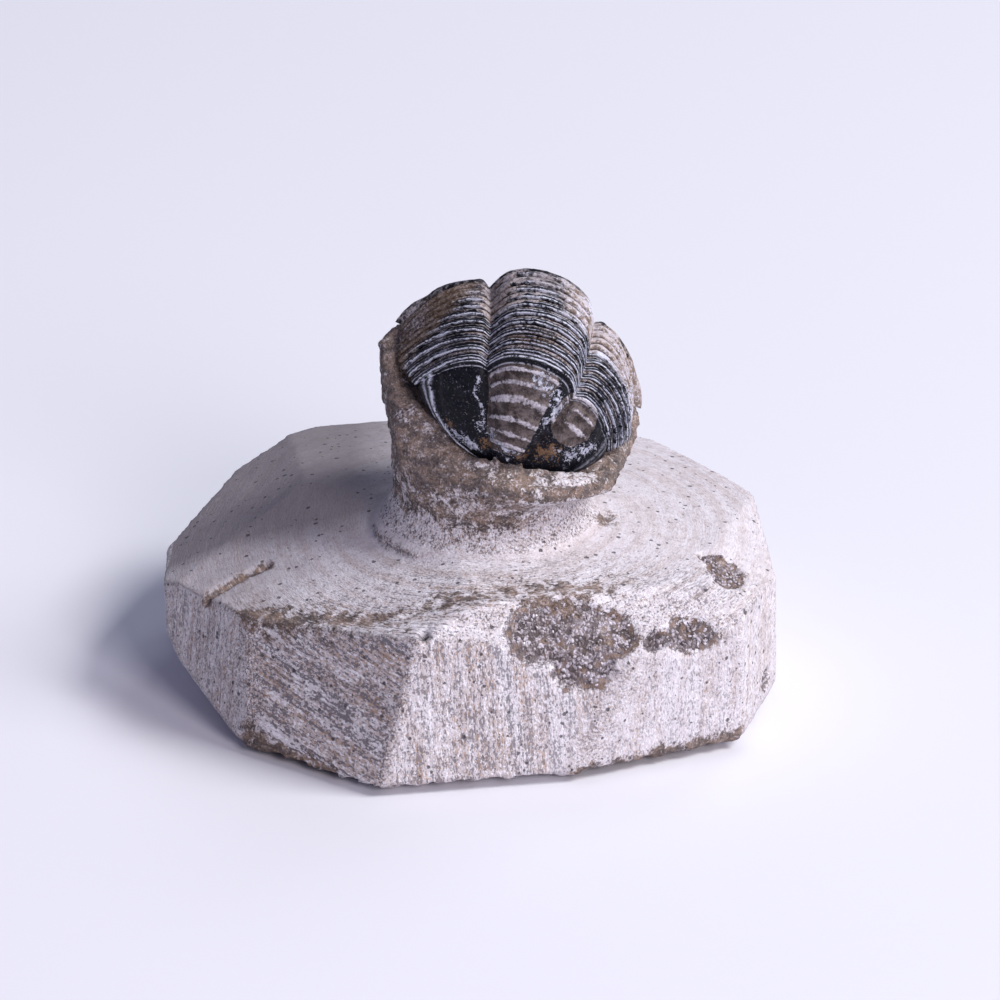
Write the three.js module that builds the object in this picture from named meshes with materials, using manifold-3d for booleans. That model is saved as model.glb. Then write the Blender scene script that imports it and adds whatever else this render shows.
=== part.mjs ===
// An enrolled trilobite on its limestone, as a preparator leaves it: a thick slab ground to flat facets,
// a short neck of stone, and a cup of stone that still holds the fossil by its margin.
// Millimetres, +Z up. The slab stands on its flat underside, and the fossil's tail shield faces -Y.
import * as THREE from "three";
import { ConvexGeometry } from "three/addons/geometries/ConvexGeometry.js";
import { mergeVertices } from "three/addons/utils/BufferGeometryUtils.js";
import Module from "manifold-3d";

const wasm = await Module();
wasm.setup();

// ---------------------------------------------------------------- driving dimensions of the stone
const SLAB_REACH = 34; // radius of the rough blank that the facets are ground from
const RIM_Z = 15.2; // height of the slab's top edge
const NECK_FOOT_Z = 17.3; // the top slopes up to this height where the neck starts
const NECK_FOOT_RADIUS = 10.4;
const NECK_RADIUS = 8.5;
const NECK_TOP_Z = 23;
const NECK_AT = new THREE.Vector2(1.7, -0.9);
const ROUND_STEPS = 40;

// Ground facets: [azimuth of the face, its distance from the slab's axis, at this height, lean].
// Degrees and millimetres. A positive lean tips the face back towards the top.
const SIDE_FACETS = [
  [-142, 24.0, 6, 10],
  [-125, 24.0, 0, 13],
  [-80, 22.1, 0, 4],
  [-65, 22.9, 1, -4],
  [-20, 27.7, 8, 0],
  [5, 26.9, 12, 2],
  [33, 26.6, 12, 0],
  [60, 27.8, 12, 0],
  [97, 27.6, 12, 0],
  [130, 29.3, 12, 0],
  [158, 28.0, 12, 0],
  [182, 27.4, 8, -3],
];
const TOP_BEVELS = [
  [176, 18.5, 15, 66],
  [-150, 18.7, 13.4, 74],
  [-12, 24.0, 15, 64],
];
const UNDERSIDE_BEVELS = [
  [-165, 22.6, 0, -40],
  [-18, 26.8, 0, -22],
  [100, 24.5, 0, -40],
  [180, 22.6, 0, -35],
];
// Faces that were never ground: broken stone on the rim.
const BROKEN_FACES = [[-72, 22.0, 12.2, 45]];

// The stone cup under the fossil: the under edge of its lip, from the left over the front and round.
const LIP_EDGE = [
  [-7.2, -3.0, 29.0], [-6.5, -5.5, 25.5], [-3.8, -7.8, 24.3], [-1.1, -9.6, 23.5],
  [2.8, -11.2, 22.9], [6.3, -11.4, 22.6], [10.3, -10.0, 22.6], [12.9, -7.5, 22.1],
  [13.6, -4.0, 22.3], [14.7, 0.5, 22.8], [15.6, 4.0, 23.8], [15.0, 7.0, 24.4],
  [11.0, 8.8, 25.2], [5.0, 10.0, 27.2], [-1.0, 9.0, 28.8], [-6.5, 5.0, 28.0],
];
const LIP_THICKNESS = 1.2;
const LIP_INSET = 0.3;
const CUP_FOOT_Z = 20.4;
// Stone that still stands against the fossil's left flank.
const LEFT_WALL = [
  [-8.1, 1.5, 32.9], [-7.6, 2.5, 33.4], [-5.9, 3.5, 34.4], [-2.9, 4.5, 35.6],
  [-7.8, -1.0, 32.3], [-7.2, -3.0, 29.0], [-6.5, -5.5, 25.5], [-6.6, -1.2, 32.6],
  [-7.8, 1.5, 27.0], [-7.0, 4.5, 28.0], [-5.5, 7.5, 31.0], [-2.5, 8.5, 33.0],
  [-2.0, 2.0, 25.0], [-1.5, 6.0, 25.0],
];

// ---------------------------------------------------------------- driving dimensions of the trilobite
const FOSSIL_AT = new THREE.Vector3(3.51, -1.5, 26.71); // middle of the line between the pleural tips
const FOSSIL_ROLL = 20; // degrees: its right side is low
const FOSSIL_YAW = -2;
const PROFILE_FRONT = 9.0; // half depth of the rolled profile, towards the tail shield
const PROFILE_BACK = 8.6;
const PROFILE_TOP = 8.1; // height of the profile above its middle
const PROFILE_BOTTOM = 9.3;
const PROFILE_MIDDLE_Z = 5.2; // height of the profile's middle above the pleural tips
const PROFILE_POWER = 0.8; // below 1 the profile is squarer than an ellipse
const TAIL_TIP = -50; // angles along the profile, from the front over the top
const TAIL_FRONT = 26;
const HEAD_REAR = 102;
const HEAD_FRONT = 196;
const TAIL_HALF_WIDTH = 8.9;
const THORAX_HALF_WIDTH = 10.8;
const HEAD_HALF_WIDTH = 11.8;
const TAIL_AXIS_HALF = 4.0; // half width of the raised middle lobe
const HEAD_AXIS_HALF = 4.8;
const FURROW_HEIGHT = 0.7; // height of the axial furrows as a share of the arch
const FURROW_GROOVE = 0.05;
const FURROW_WIDTH = 0.6;
const MIDLINE_DRIFT = 0.6; // the crushed midline wanders this far to one side
const TAIL_CORNER = [3.0, 1.2]; // [forward, up] of the pleural tips beside the tail shield
const HEAD_CORNER = [-2.9, 3.9]; // and beside the head
const SEGMENTS = 10;
const SEAM_SHARE = 0.3; // share of each segment's length that is left open to the next
const SHELL_INNER = 0.9; // the plates are thickened towards the middle of the roll
const MOULD = 0.86; // surface of the stone filling inside them
const CLEARANCE = 0.3;
const MARGIN_END = 86; // degrees of the quarter turn that a shield's margin makes towards its tip
const EYE_RADIUS = 1.4;
const EYE_AT = [0.3, 0.55]; // share of the head's length, and of its half width
const EYE_DEPTH = 0.95;

const rad = THREE.MathUtils.degToRad;
const STONE = new THREE.MeshStandardMaterial({ color: 0xb9b0b4, roughness: 0.95, metalness: 0 });
const SHELL = new THREE.MeshStandardMaterial({ color: 0x24252b, roughness: 0.45, metalness: 0 });
const WORN_SHELL = new THREE.MeshStandardMaterial({ color: 0x4d443f, roughness: 0.6, metalness: 0 });

// ---------------------------------------------------------------- solids
// A closed triangle mesh as a solid. Triangles that collapsed where vertices meet are dropped.
function solid(geometry) {
  const bare = new THREE.BufferGeometry();
  bare.setAttribute("position", geometry.getAttribute("position"));
  bare.setIndex(geometry.index);
  const merged = mergeVertices(bare, 1e-4);
  const corners = merged.index.array;
  const kept = [];
  for (let i = 0; i < corners.length; i += 3) {
    const [a, b, c] = corners.slice(i, i + 3);
    if (a !== b && b !== c && c !== a) kept.push(a, b, c);
  }
  const made = new wasm.Manifold(
    new wasm.Mesh({
      numProp: 3,
      vertProperties: merged.attributes.position.array,
      triVerts: new Uint32Array(kept),
    }),
  );
  return made;
}

function geometryOf(manifold) {
  const mesh = manifold.getMesh();
  const geometry = new THREE.BufferGeometry();
  geometry.setAttribute("position", new THREE.BufferAttribute(mesh.vertProperties, 3));
  geometry.setIndex(new THREE.BufferAttribute(mesh.triVerts, 1));
  geometry.computeVertexNormals();
  return geometry;
}

// The stone that grinding one facet takes away: a large block with its face on the facet's plane.
function groundAway([azimuth, distance, height, lean]) {
  const size = 160;
  const block = new THREE.BoxGeometry(size, size, size);
  block.translate(0, 0, size / 2);
  const around = rad(azimuth);
  const tip = rad(lean);
  const normal = new THREE.Vector3(
    Math.cos(around) * Math.cos(tip),
    Math.sin(around) * Math.cos(tip),
    Math.sin(tip),
  );
  block.applyQuaternion(new THREE.Quaternion().setFromUnitVectors(new THREE.Vector3(0, 0, 1), normal));
  block.translate(Math.cos(around) * distance, Math.sin(around) * distance, height);
  return solid(block);
}

// A solid turned about a vertical axis from its outline of [radius, height] points.
function turned(outline, at) {
  const points = outline.map(([radius, height]) => new THREE.Vector2(radius, height));
  const lathe = new THREE.LatheGeometry(points, ROUND_STEPS);
  lathe.rotateX(Math.PI / 2);
  lathe.translate(at.x, at.y, 0);
  return solid(lathe);
}

// ---------------------------------------------------------------- shape of the rolled animal
// A point of the midline, as [forward, up] from the line between the pleural tips.
function midline(angle) {
  const c = Math.cos(rad(angle));
  const s = Math.sin(rad(angle));
  const reach = c > 0 ? PROFILE_FRONT : PROFILE_BACK;
  const rise = s > 0 ? PROFILE_TOP : PROFILE_BOTTOM;
  return [
    Math.sign(c) * reach * Math.abs(c) ** PROFILE_POWER,
    PROFILE_MIDDLE_Z + Math.sign(s) * rise * Math.abs(s) ** PROFILE_POWER,
  ];
}

// Height of the three-lobed arch at a distance from its middle, as a share of its full height.
function archHeight(across, axisHalf, halfWidth) {
  const x = Math.abs(across);
  const groove = FURROW_GROOVE * Math.exp(-(((x - axisHalf) / FURROW_WIDTH) ** 2));
  if (x <= axisHalf) {
    return FURROW_HEIGHT + (1 - FURROW_HEIGHT) * (1 - (x / axisHalf) ** 2) ** 0.6 - groove;
  }
  const out = Math.min(1, (x - axisHalf) / (halfWidth - axisHalf));
  return FURROW_HEIGHT * (1 - out ** 2.1) ** 0.8 - groove;
}

const lerp = THREE.MathUtils.lerp;
const lerpPair = (a, b, share) => [lerp(a[0], b[0], share), lerp(a[1], b[1], share)];

// The three regions of the body. Each gives, at a share 0 to 1 of its length, the crest of its arch,
// the place of its two ends, its half width and the half width of its middle lobe.
const REGIONS = {
  tail(share, grow = 0) {
    const angle = lerp(TAIL_FRONT, TAIL_TIP - grow * 6, share);
    const halfWidth = TAIL_HALF_WIDTH * Math.sqrt(Math.max(0, 1 - share ** 2)) + grow;
    const ends = lerpPair(TAIL_CORNER, midline(TAIL_TIP - grow * 6), share ** 1.5);
    const axisHalf = Math.min(TAIL_AXIS_HALF * (1 - 0.8 * share), 0.8 * halfWidth);
    return { crest: midline(angle), ends, halfWidth, axisHalf, drift: MIDLINE_DRIFT * share };
  },
  thorax(share, grow = 0) {
    const angle = lerp(TAIL_FRONT, HEAD_REAR, share);
    const widening = Math.sin((Math.PI / 2) * Math.min(1, share * 2.2));
    const halfWidth = lerp(TAIL_HALF_WIDTH, THORAX_HALF_WIDTH, widening) + grow;
    const ends = lerpPair(TAIL_CORNER, HEAD_CORNER, share);
    const axisHalf = lerp(TAIL_AXIS_HALF, HEAD_AXIS_HALF, share);
    return { crest: midline(angle), ends, halfWidth, axisHalf, drift: -MIDLINE_DRIFT * share };
  },
  head(share, grow = 0) {
    const angle = lerp(HEAD_REAR, HEAD_FRONT + grow * 6, share);
    const widening = lerp(THORAX_HALF_WIDTH, HEAD_HALF_WIDTH, Math.min(1, share * 5));
    const halfWidth = widening * Math.sqrt(Math.max(0, 1 - share ** 2.2)) + grow;
    const ends = lerpPair(HEAD_CORNER, midline(HEAD_FRONT + grow * 6), share ** 1.5);
    const axisHalf = Math.min(HEAD_AXIS_HALF * (1 - 0.1 * share), 0.8 * halfWidth);
    return { crest: midline(angle), ends, halfWidth, axisHalf, drift: -MIDLINE_DRIFT * (1 - share) };
  },
};

const ROLL_MIDDLE = new THREE.Vector3(0, 0, 4.5);

// A point of the body in the fossil's own frame: across runs -1 to 1 from tip to tip, and depth is 1 on
// the outer surface and falls to 0 at the middle of the roll.
function bodyPoint(region, share, across, depth, grow = 0) {
  const arch = REGIONS[region](share, grow);
  const x = arch.halfWidth * across;
  const height = archHeight(x, arch.axisHalf, arch.halfWidth);
  const ends = [arch.ends[0], arch.ends[1] - grow];
  const [forward, up] = lerpPair(ends, arch.crest, height);
  const point = new THREE.Vector3(x + arch.drift, -forward, up);
  return point.sub(ROLL_MIDDLE).multiplyScalar(depth).add(ROLL_MIDDLE);
}

// Steps from tip to tip, closer together at the furrows and the tips than in between.
const spread = (share) => Math.sin((Math.PI / 2) * share) * 0.35 + share * 0.65;

// A plate of the body: a thin box bent so that its long side runs from tip to tip. `along` maps the
// box's short side, 0 to 1, to a region and a share of it. `grow` widens its outer side only.
function bent(along, stepsAcross, stepsAlong, inner, outer, grow = 0) {
  const box = new THREE.BoxGeometry(1, 1, 1, stepsAcross, stepsAlong, 1);
  const corner = box.getAttribute("position");
  for (let i = 0; i < corner.count; i += 1) {
    const across = spread(2 * corner.getX(i));
    const [region, share] = along(corner.getY(i) + 0.5);
    const outside = corner.getZ(i) > 0;
    const point = bodyPoint(region, share, across, outside ? outer : inner, outside ? grow : 0);
    corner.setXYZ(i, point.x, point.y, point.z);
  }
  return solid(box);
}

// A shield's length is stepped by the angle its margin has turned, so that its rounded end stays round.
const marginShare = (step) => Math.sin(rad(MARGIN_END * step));

const TAIL_PART = 0.3;
const HEAD_PART = 0.6;
// The whole body from the tail's tip to the head's front edge, as one step 0 to 1.
function wholeBody(step) {
  if (step < TAIL_PART) return ["tail", marginShare(1 - step / TAIL_PART)];
  if (step < HEAD_PART) return ["thorax", (step - TAIL_PART) / (HEAD_PART - TAIL_PART)];
  return ["head", marginShare((step - HEAD_PART) / (1 - HEAD_PART))];
}

const bodyFilling = () => bent(wholeBody, 24, 28, 0.05, 0.91);

// The raised lobe of one compound eye, without the part of it that would lie inside the head.
function eye(side, grow = 0) {
  const lobe = new THREE.SphereGeometry(EYE_RADIUS + grow, 12, 8);
  lobe.scale(0.75, 1, 1);
  const seat = bodyPoint("head", EYE_AT[0], side * EYE_AT[1], EYE_DEPTH);
  lobe.translate(seat.x, seat.y, seat.z);
  return solid(lobe).subtract(bodyFilling());
}

// ---------------------------------------------------------------- the stone
function fossilPlacement() {
  const turn = new THREE.Euler(0, rad(FOSSIL_ROLL), rad(FOSSIL_YAW), "ZYX");
  return new THREE.Matrix4().compose(
    FOSSIL_AT,
    new THREE.Quaternion().setFromEuler(turn),
    new THREE.Vector3(1, 1, 1),
  );
}

const inPlace = (manifold) => manifold.transform(fossilPlacement().elements);

// A convex block of stone through a few hand-set corners.
const chunk = (corners) => solid(new ConvexGeometry(corners.map((corner) => new THREE.Vector3(...corner))));

// The cup widens from the neck to its lip, and the lip's edge stands up by its own thickness.
function cup() {
  const corners = [...LIP_EDGE];
  for (const [x, y, z] of LIP_EDGE) {
    corners.push([x - LIP_INSET * Math.sign(x - NECK_AT.x), y, z + LIP_THICKNESS]);
  }
  for (let i = 0; i < ROUND_STEPS; i += 4) {
    const angle = (2 * Math.PI * i) / ROUND_STEPS;
    const x = NECK_AT.x + NECK_RADIUS * Math.cos(angle);
    const y = NECK_AT.y + NECK_RADIUS * Math.sin(angle);
    corners.push([x, y, CUP_FOOT_Z]);
  }
  return chunk(corners);
}

function stone() {
  const far = SLAB_REACH;
  const slab = turned([[0, 0], [far, 0], [far, RIM_Z - 0.9], [NECK_RADIUS, NECK_FOOT_Z], [0, NECK_FOOT_Z]],
    new THREE.Vector2(0, 0));
  const neck = turned([
    [0, RIM_Z - 3],
    [NECK_FOOT_RADIUS, RIM_Z - 3],
    [NECK_FOOT_RADIUS, NECK_FOOT_Z - 0.5],
    [NECK_RADIUS + 0.7, NECK_FOOT_Z + 0.6],
    [NECK_RADIUS, NECK_FOOT_Z + 2.4],
    [NECK_RADIUS + 0.3, NECK_TOP_Z],
    [0, NECK_TOP_Z],
  ], NECK_AT);
  let ground = slab;
  for (const facet of [...SIDE_FACETS, ...TOP_BEVELS, ...UNDERSIDE_BEVELS, ...BROKEN_FACES]) {
    ground = ground.subtract(groundAway(facet));
  }
  const shellRoom = bent(wholeBody, 24, 28, MOULD, 1.05, CLEARANCE);
  const room = inPlace(shellRoom.add(eye(-1, CLEARANCE)).add(eye(1, CLEARANCE)));
  return ground.add(neck).add(cup()).add(chunk(LEFT_WALL)).add(inPlace(bodyFilling())).subtract(room);
}

// ---------------------------------------------------------------- the trilobite's plates
function tailShield() {
  const along = (step) => ["tail", marginShare(1 - step)];
  return bent(along, 24, 9, SHELL_INNER, 1);
}

function headShield() {
  const along = (step) => ["head", lerp(0.02, 1, marginShare(step))];
  return bent(along, 24, 11, SHELL_INNER, 1).add(eye(-1)).add(eye(1));
}

function thoraxSegment(number) {
  const seam = SEAM_SHARE / 2;
  const along = (step) => ["thorax", lerp(number + seam, number + 1 - seam, step) / SEGMENTS];
  return bent(along, 24, 1, SHELL_INNER, 1);
}

// ---------------------------------------------------------------- assembly
function piece(name, manifold, material) {
  const mesh = new THREE.Mesh(geometryOf(manifold), material);
  mesh.name = name;
  return mesh;
}

const specimen = new THREE.Group();
const matrix = piece("limestone_matrix", stone(), STONE);
specimen.add(matrix);

const fossil = new THREE.Group();
fossil.applyMatrix4(fossilPlacement());
fossil.add(piece("pygidium", tailShield(), SHELL));
fossil.add(piece("cephalon", headShield(), WORN_SHELL));
for (let i = 0; i < SEGMENTS; i += 1) {
  // Segments are counted from the head, as they are in life.
  const name = `thorax_segment_${String(SEGMENTS - i).padStart(2, "0")}`;
  fossil.add(piece(name, thoraxSegment(i), SHELL));
}
specimen.add(fossil);

// The part's origin is the middle of its footprint, on the surface that it stands on.
specimen.updateMatrixWorld(true);
const box = new THREE.Box3().setFromObject(specimen, true);
const middle = box.getCenter(new THREE.Vector3());
for (const placed of [matrix, fossil]) {
  placed.position.sub(new THREE.Vector3(middle.x, middle.y, box.min.z));
}

export default specimen;
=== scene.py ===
# %% [markdown]
# # An enrolled trilobite on its block of limestone
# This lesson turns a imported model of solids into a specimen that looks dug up, ground and prepared. The
# real thing is a thick block of limestone, ground to flat facets, from which a preparator has freed a
# rolled-up trilobite on a short neck of stone. Its tail shield faces the front. The shell is black
# calcite, and remains of stone cling to it.
#
# The first cell loads the solids, which say where everything is. Every piece made later stays in that
# frame, in metres. Sizes are easier to read in millimetres, so they are written so and multiplied by
# `MM`.

import math

import bmesh
import bpy
import numpy as np
from mathutils import Euler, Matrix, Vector


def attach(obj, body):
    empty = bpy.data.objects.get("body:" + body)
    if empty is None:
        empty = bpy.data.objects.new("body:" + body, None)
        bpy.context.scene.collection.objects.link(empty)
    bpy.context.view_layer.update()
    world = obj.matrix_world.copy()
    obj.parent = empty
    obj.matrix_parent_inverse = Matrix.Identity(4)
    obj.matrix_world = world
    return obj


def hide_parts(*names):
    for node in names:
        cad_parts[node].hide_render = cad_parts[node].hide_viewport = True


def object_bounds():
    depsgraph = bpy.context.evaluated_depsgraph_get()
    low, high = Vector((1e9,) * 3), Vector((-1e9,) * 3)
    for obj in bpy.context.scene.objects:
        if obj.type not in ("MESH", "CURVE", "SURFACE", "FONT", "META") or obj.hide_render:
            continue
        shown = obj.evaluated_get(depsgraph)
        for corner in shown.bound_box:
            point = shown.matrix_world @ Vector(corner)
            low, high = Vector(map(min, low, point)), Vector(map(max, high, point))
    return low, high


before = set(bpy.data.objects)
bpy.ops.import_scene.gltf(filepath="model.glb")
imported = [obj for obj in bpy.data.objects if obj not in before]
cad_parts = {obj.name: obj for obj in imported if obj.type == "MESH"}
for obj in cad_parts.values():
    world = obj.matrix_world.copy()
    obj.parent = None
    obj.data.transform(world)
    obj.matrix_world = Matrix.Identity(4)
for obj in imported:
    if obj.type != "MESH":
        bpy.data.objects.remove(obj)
CAD_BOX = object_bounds()
MM = 0.001
cad_size = CAD_BOX[1] - CAD_BOX[0]
print("solids:", len(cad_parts), "box in mm:", [round(v / MM, 1) for v in cad_size])

# %% [markdown]
# ## Maths on sockets
# A procedural material, or a Geometry Nodes tree, is a sum written as boxes and wires. It is much easier
# to read as a sum. `Flow` wraps one output of a tree, and Python's own operators add the Math nodes, so
# `1 - mask * 0.5` does what it says. `Tree` adds any other node: its settings are set first, then its
# sockets, each to a value or to a link. The same two classes serve materials and Geometry Nodes.


# %% The two classes
class Flow:
    """One output of a node tree, which Python's operators can work on."""

    def __init__(self, tree, socket):
        self.tree = tree
        self.socket = socket

    def __add__(self, other):
        return self.tree.maths("ADD", self, other)

    __radd__ = __add__

    def __mul__(self, other):
        return self.tree.maths("MULTIPLY", self, other)

    __rmul__ = __mul__

    def __sub__(self, other):
        return self.tree.maths("SUBTRACT", self, other)

    def __rsub__(self, other):
        return self.tree.maths("SUBTRACT", other, self)

    def __truediv__(self, other):
        return self.tree.maths("DIVIDE", self, other)

    def __rtruediv__(self, other):
        return self.tree.maths("DIVIDE", other, self)

    def __pow__(self, other):
        return self.tree.maths("POWER", self, other)

    def __neg__(self):
        return self.tree.maths("MULTIPLY", self, -1.0)

    def __gt__(self, other):
        return self.tree.maths("GREATER_THAN", self, other)

    def __lt__(self, other):
        return self.tree.maths("LESS_THAN", self, other)


class Tree:
    """A node tree that is built by calls."""

    def __init__(self, node_tree):
        self.node_tree = node_tree

    def node(self, kind, settings=None, inputs=None, output=0):
        made = self.node_tree.nodes.new(kind)
        for name, value in (settings or {}).items():
            setattr(made, name, value)
        for name, value in (inputs or {}).items():
            self.feed(made.inputs[name], value)
        return made if output is None else Flow(self, made.outputs[output])

    def feed(self, socket, value):
        if isinstance(value, Flow):
            self.node_tree.links.new(value.socket, socket)
        else:
            socket.default_value = value

    def maths(self, operation, *terms):
        return self.node("ShaderNodeMath", {"operation": operation}, dict(enumerate(terms)))

    def vectors(self, operation, *terms, output=0):
        settings = {"operation": operation}
        return self.node("ShaderNodeVectorMath", settings, dict(enumerate(terms)), output)

    def scaled(self, vector, factor):
        sockets = {0: vector, "Scale": factor}
        return self.node("ShaderNodeVectorMath", {"operation": "SCALE"}, sockets)

    # ---- sums that both kinds of tree use
    def least(self, a, b):
        return self.maths("MINIMUM", a, b)

    def most(self, a, b):
        return self.maths("MAXIMUM", a, b)

    def size(self, a):
        return self.maths("ABSOLUTE", a)

    def fade(self, value, low, high):
        """0 below low, 1 above high, smooth between. low may be above high, which turns it round."""
        sockets = {"Value": value, "From Min": low, "From Max": high}
        return self.node("ShaderNodeMapRange", {"interpolation_type": "SMOOTHSTEP"}, sockets)

    def between(self, a, b, share):
        return (b - a) * share + a

    def hump(self, value, middle, width):
        """1 where value is at middle, and falling away over width."""
        off = (value - middle) / width
        return self.maths("EXPONENT", -(off * off))

    def noise(self, place, scale, detail=3.0, roughness=0.55, output=0):
        sockets = {"Vector": place, "Scale": scale, "Detail": detail, "Roughness": roughness}
        return self.node("ShaderNodeTexNoise", None, sockets, output)

    def cells(self, place, scale, output=0):
        """Distance to the middle of the nearest crystal, or with output 1 that crystal's colour."""
        return self.node("ShaderNodeTexVoronoi", None, {"Vector": place, "Scale": scale}, output)

    def parts(self, vector):
        split = self.node("ShaderNodeSeparateXYZ", None, {0: vector}, None)
        return [Flow(self, socket) for socket in split.outputs]

    def joined(self, x, y, z):
        return self.node("ShaderNodeCombineXYZ", None, {0: x, 1: y, 2: z})

    def stretched(self, vector, factors):
        return self.vectors("MULTIPLY", vector, factors)

    def near(self, place, middle, reach):
        """How far a place is from a middle, as a share of its reach along each axis."""
        off = self.vectors("SUBTRACT", place, middle)
        scaled = self.vectors("DIVIDE", off, reach)
        return self.vectors("LENGTH", scaled, output=1)

    def near_line(self, place, start, end):
        """Distance of a place from the straight line between two points."""
        start, end = Vector(start), Vector(end)
        run = end - start
        off = self.vectors("SUBTRACT", place, tuple(start))
        along = self.vectors("DOT_PRODUCT", off, tuple(run), output=1) * (1 / run.length_squared)
        along = self.least(self.most(along, 0.0), 1.0)
        from_line = self.vectors("SUBTRACT", off, self.scaled(tuple(run), along))
        return self.vectors("LENGTH", from_line, output=1)


print("Flow and Tree are ready")

# %% [markdown]
# ## A Geometry Nodes tree and its named sizes
# A tree that makes geometry is a modifier. Its sizes are named inputs, so that one tree can make ten
# thorax rings, each with its own place. A modifier keeps an input under the socket's identifier, not its
# name, and the value has to be there before the object is first evaluated. Afterwards the result is
# frozen: the evaluated mesh replaces the object's own, and the modifier goes.

# %% Helpers for Geometry Nodes
SOCKET_TYPES = {int: "NodeSocketInt", float: "NodeSocketFloat", tuple: "NodeSocketVector"}


def geometry_tree(name, sizes):
    """A new Geometry Nodes tree, with its group input as a dictionary of flows."""
    group = bpy.data.node_groups.new(name, "GeometryNodeTree")
    group.is_modifier = True
    group.interface.new_socket("Geometry", in_out="INPUT", socket_type="NodeSocketGeometry")
    group.interface.new_socket("Geometry", in_out="OUTPUT", socket_type="NodeSocketGeometry")
    for label, value in sizes.items():
        socket = group.interface.new_socket(label, in_out="INPUT", socket_type=SOCKET_TYPES[type(value)])
        socket.default_value = value
    tree = Tree(group)
    entry = tree.node("NodeGroupInput", output=None)
    given = {socket.name: Flow(tree, socket) for socket in entry.outputs if socket.name}
    return tree, given


def end_tree(tree, geometry, material):
    """Ends a tree as the export needs it: instances made real, and a material set."""
    real = tree.node("GeometryNodeRealizeInstances", None, {0: geometry})
    finished = tree.node("GeometryNodeSetMaterial", None, {"Geometry": real, "Material": material})
    tree.node("NodeGroupOutput", None, {0: finished}, None)


def store(tree, geometry, name, value):
    """Stores a field on the geometry under a name, for a material to read."""
    settings = {"data_type": "FLOAT", "domain": "POINT"}
    sockets = {"Geometry": geometry, "Name": name, "Value": value}
    return tree.node("GeometryNodeStoreNamedAttribute", settings, sockets)


def named(tree, name, kind="FLOAT"):
    """A stored field, read in Geometry Nodes."""
    return tree.node("GeometryNodeInputNamedAttribute", {"data_type": kind}, {"Name": name})


def new_object(name, mesh=None):
    made = bpy.data.objects.new(name, mesh or bpy.data.meshes.new(name))
    bpy.context.scene.collection.objects.link(made)
    return made


def frozen(piece, tree, sizes=None):
    """Runs a tree on a piece with the given sizes, and keeps the result as its plain mesh."""
    modifier = piece.modifiers.new("make", "NODES")
    modifier.node_group = tree.node_tree
    for item in tree.node_tree.interface.items_tree:
        if item.in_out == "INPUT" and item.name in (sizes or {}):
            modifier[item.identifier] = sizes[item.name]
    graph = bpy.context.evaluated_depsgraph_get()
    mesh = bpy.data.meshes.new_from_object(piece.evaluated_get(graph))
    piece.modifiers.remove(modifier)
    piece.data = mesh
    mesh.name = piece.name
    print(piece.name, "faces:", len(mesh.polygons))
    return piece


# %% [markdown]
# ## Camera, light and floor
# A long lens looks at the specimen from a little above, on a plain pale floor. One soft light stands to
# the right, in front and above, so shadows fall to the left and back. The rest of the light is the
# room's, and slightly blue.

# %% Camera
CAMERA_AIM = Vector((2.81, -2.37, 18.1)) * MM
CAMERA_HEIGHT = math.radians(23)
CAMERA_DISTANCE = 430 * MM
camera_data = bpy.data.cameras.new("camera")
camera_data.lens = 172
camera_data.sensor_width = 36
camera_data.clip_start = 0.01
camera = bpy.data.objects.new("camera", camera_data)
bpy.context.scene.collection.objects.link(camera)
towards_camera = Vector((0, -math.cos(CAMERA_HEIGHT), math.sin(CAMERA_HEIGHT)))
camera.location = CAMERA_AIM + towards_camera * CAMERA_DISTANCE
camera.rotation_euler = towards_camera.to_track_quat("Z", "Y").to_euler()
bpy.context.scene.camera = camera
print("camera at", [round(v, 3) for v in camera.location])

# %% Lights
LIGHT_DISTANCE = 1.6


def soft_light(name, azimuth, elevation, power, tint, size):
    """A square area light that looks at the specimen from a direction given in degrees."""
    data = bpy.data.lights.new(name, "AREA")
    data.shape = "SQUARE"
    data.size = size
    data.energy = power
    data.color = tint
    a, e = math.radians(azimuth), math.radians(elevation)
    direction = Vector((math.cos(a) * math.cos(e), math.sin(a) * math.cos(e), math.sin(e)))
    light = bpy.data.objects.new(name, data)
    light.location = direction * LIGHT_DISTANCE
    light.rotation_euler = direction.to_track_quat("Z", "Y").to_euler()
    bpy.context.scene.collection.objects.link(light)


soft_light("window", azimuth=-12, elevation=47, power=23.0, tint=(1.0, 0.985, 0.98), size=0.62)
soft_light("front fill", azimuth=-62, elevation=27, power=13.2, tint=(1.0, 0.91, 0.95), size=0.55)
soft_light("back fill", azimuth=60, elevation=46, power=4.0, tint=(0.86, 0.93, 1.0), size=0.6)

ROOM_COLOUR = (0.60, 0.61, 0.95, 1)
ROOM_STRENGTH = 0.24
world = bpy.data.worlds.new("room")
world.use_nodes = True
world.node_tree.nodes["Background"].inputs["Color"].default_value = ROOM_COLOUR
world.node_tree.nodes["Background"].inputs["Strength"].default_value = ROOM_STRENGTH
bpy.context.scene.world = world
bpy.context.scene.view_settings.view_transform = "Standard"


# %% Floor
FLOOR_COLOUR = (0.775, 0.78, 0.835, 1)


def new_material(name):
    """A material, its node tree and its shader."""
    material = bpy.data.materials.new(name)
    material.use_nodes = True
    shader = material.node_tree.nodes["Principled BSDF"]
    return material, Tree(material.node_tree), shader


floor_finish, tree, shader = new_material("pale floor")
shader.inputs["Base Color"].default_value = FLOOR_COLOUR
shader.inputs["Roughness"].default_value = 0.8
shader.inputs["Specular IOR Level"].default_value = 0.2
floor = new_object("floor")
shape = bmesh.new()
bmesh.ops.create_grid(shape, x_segments=1, y_segments=1, size=1.5)
shape.to_mesh(floor.data)
shape.free()
floor.data.materials.append(floor_finish)
print("floor, one face, with its own finish")

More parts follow.
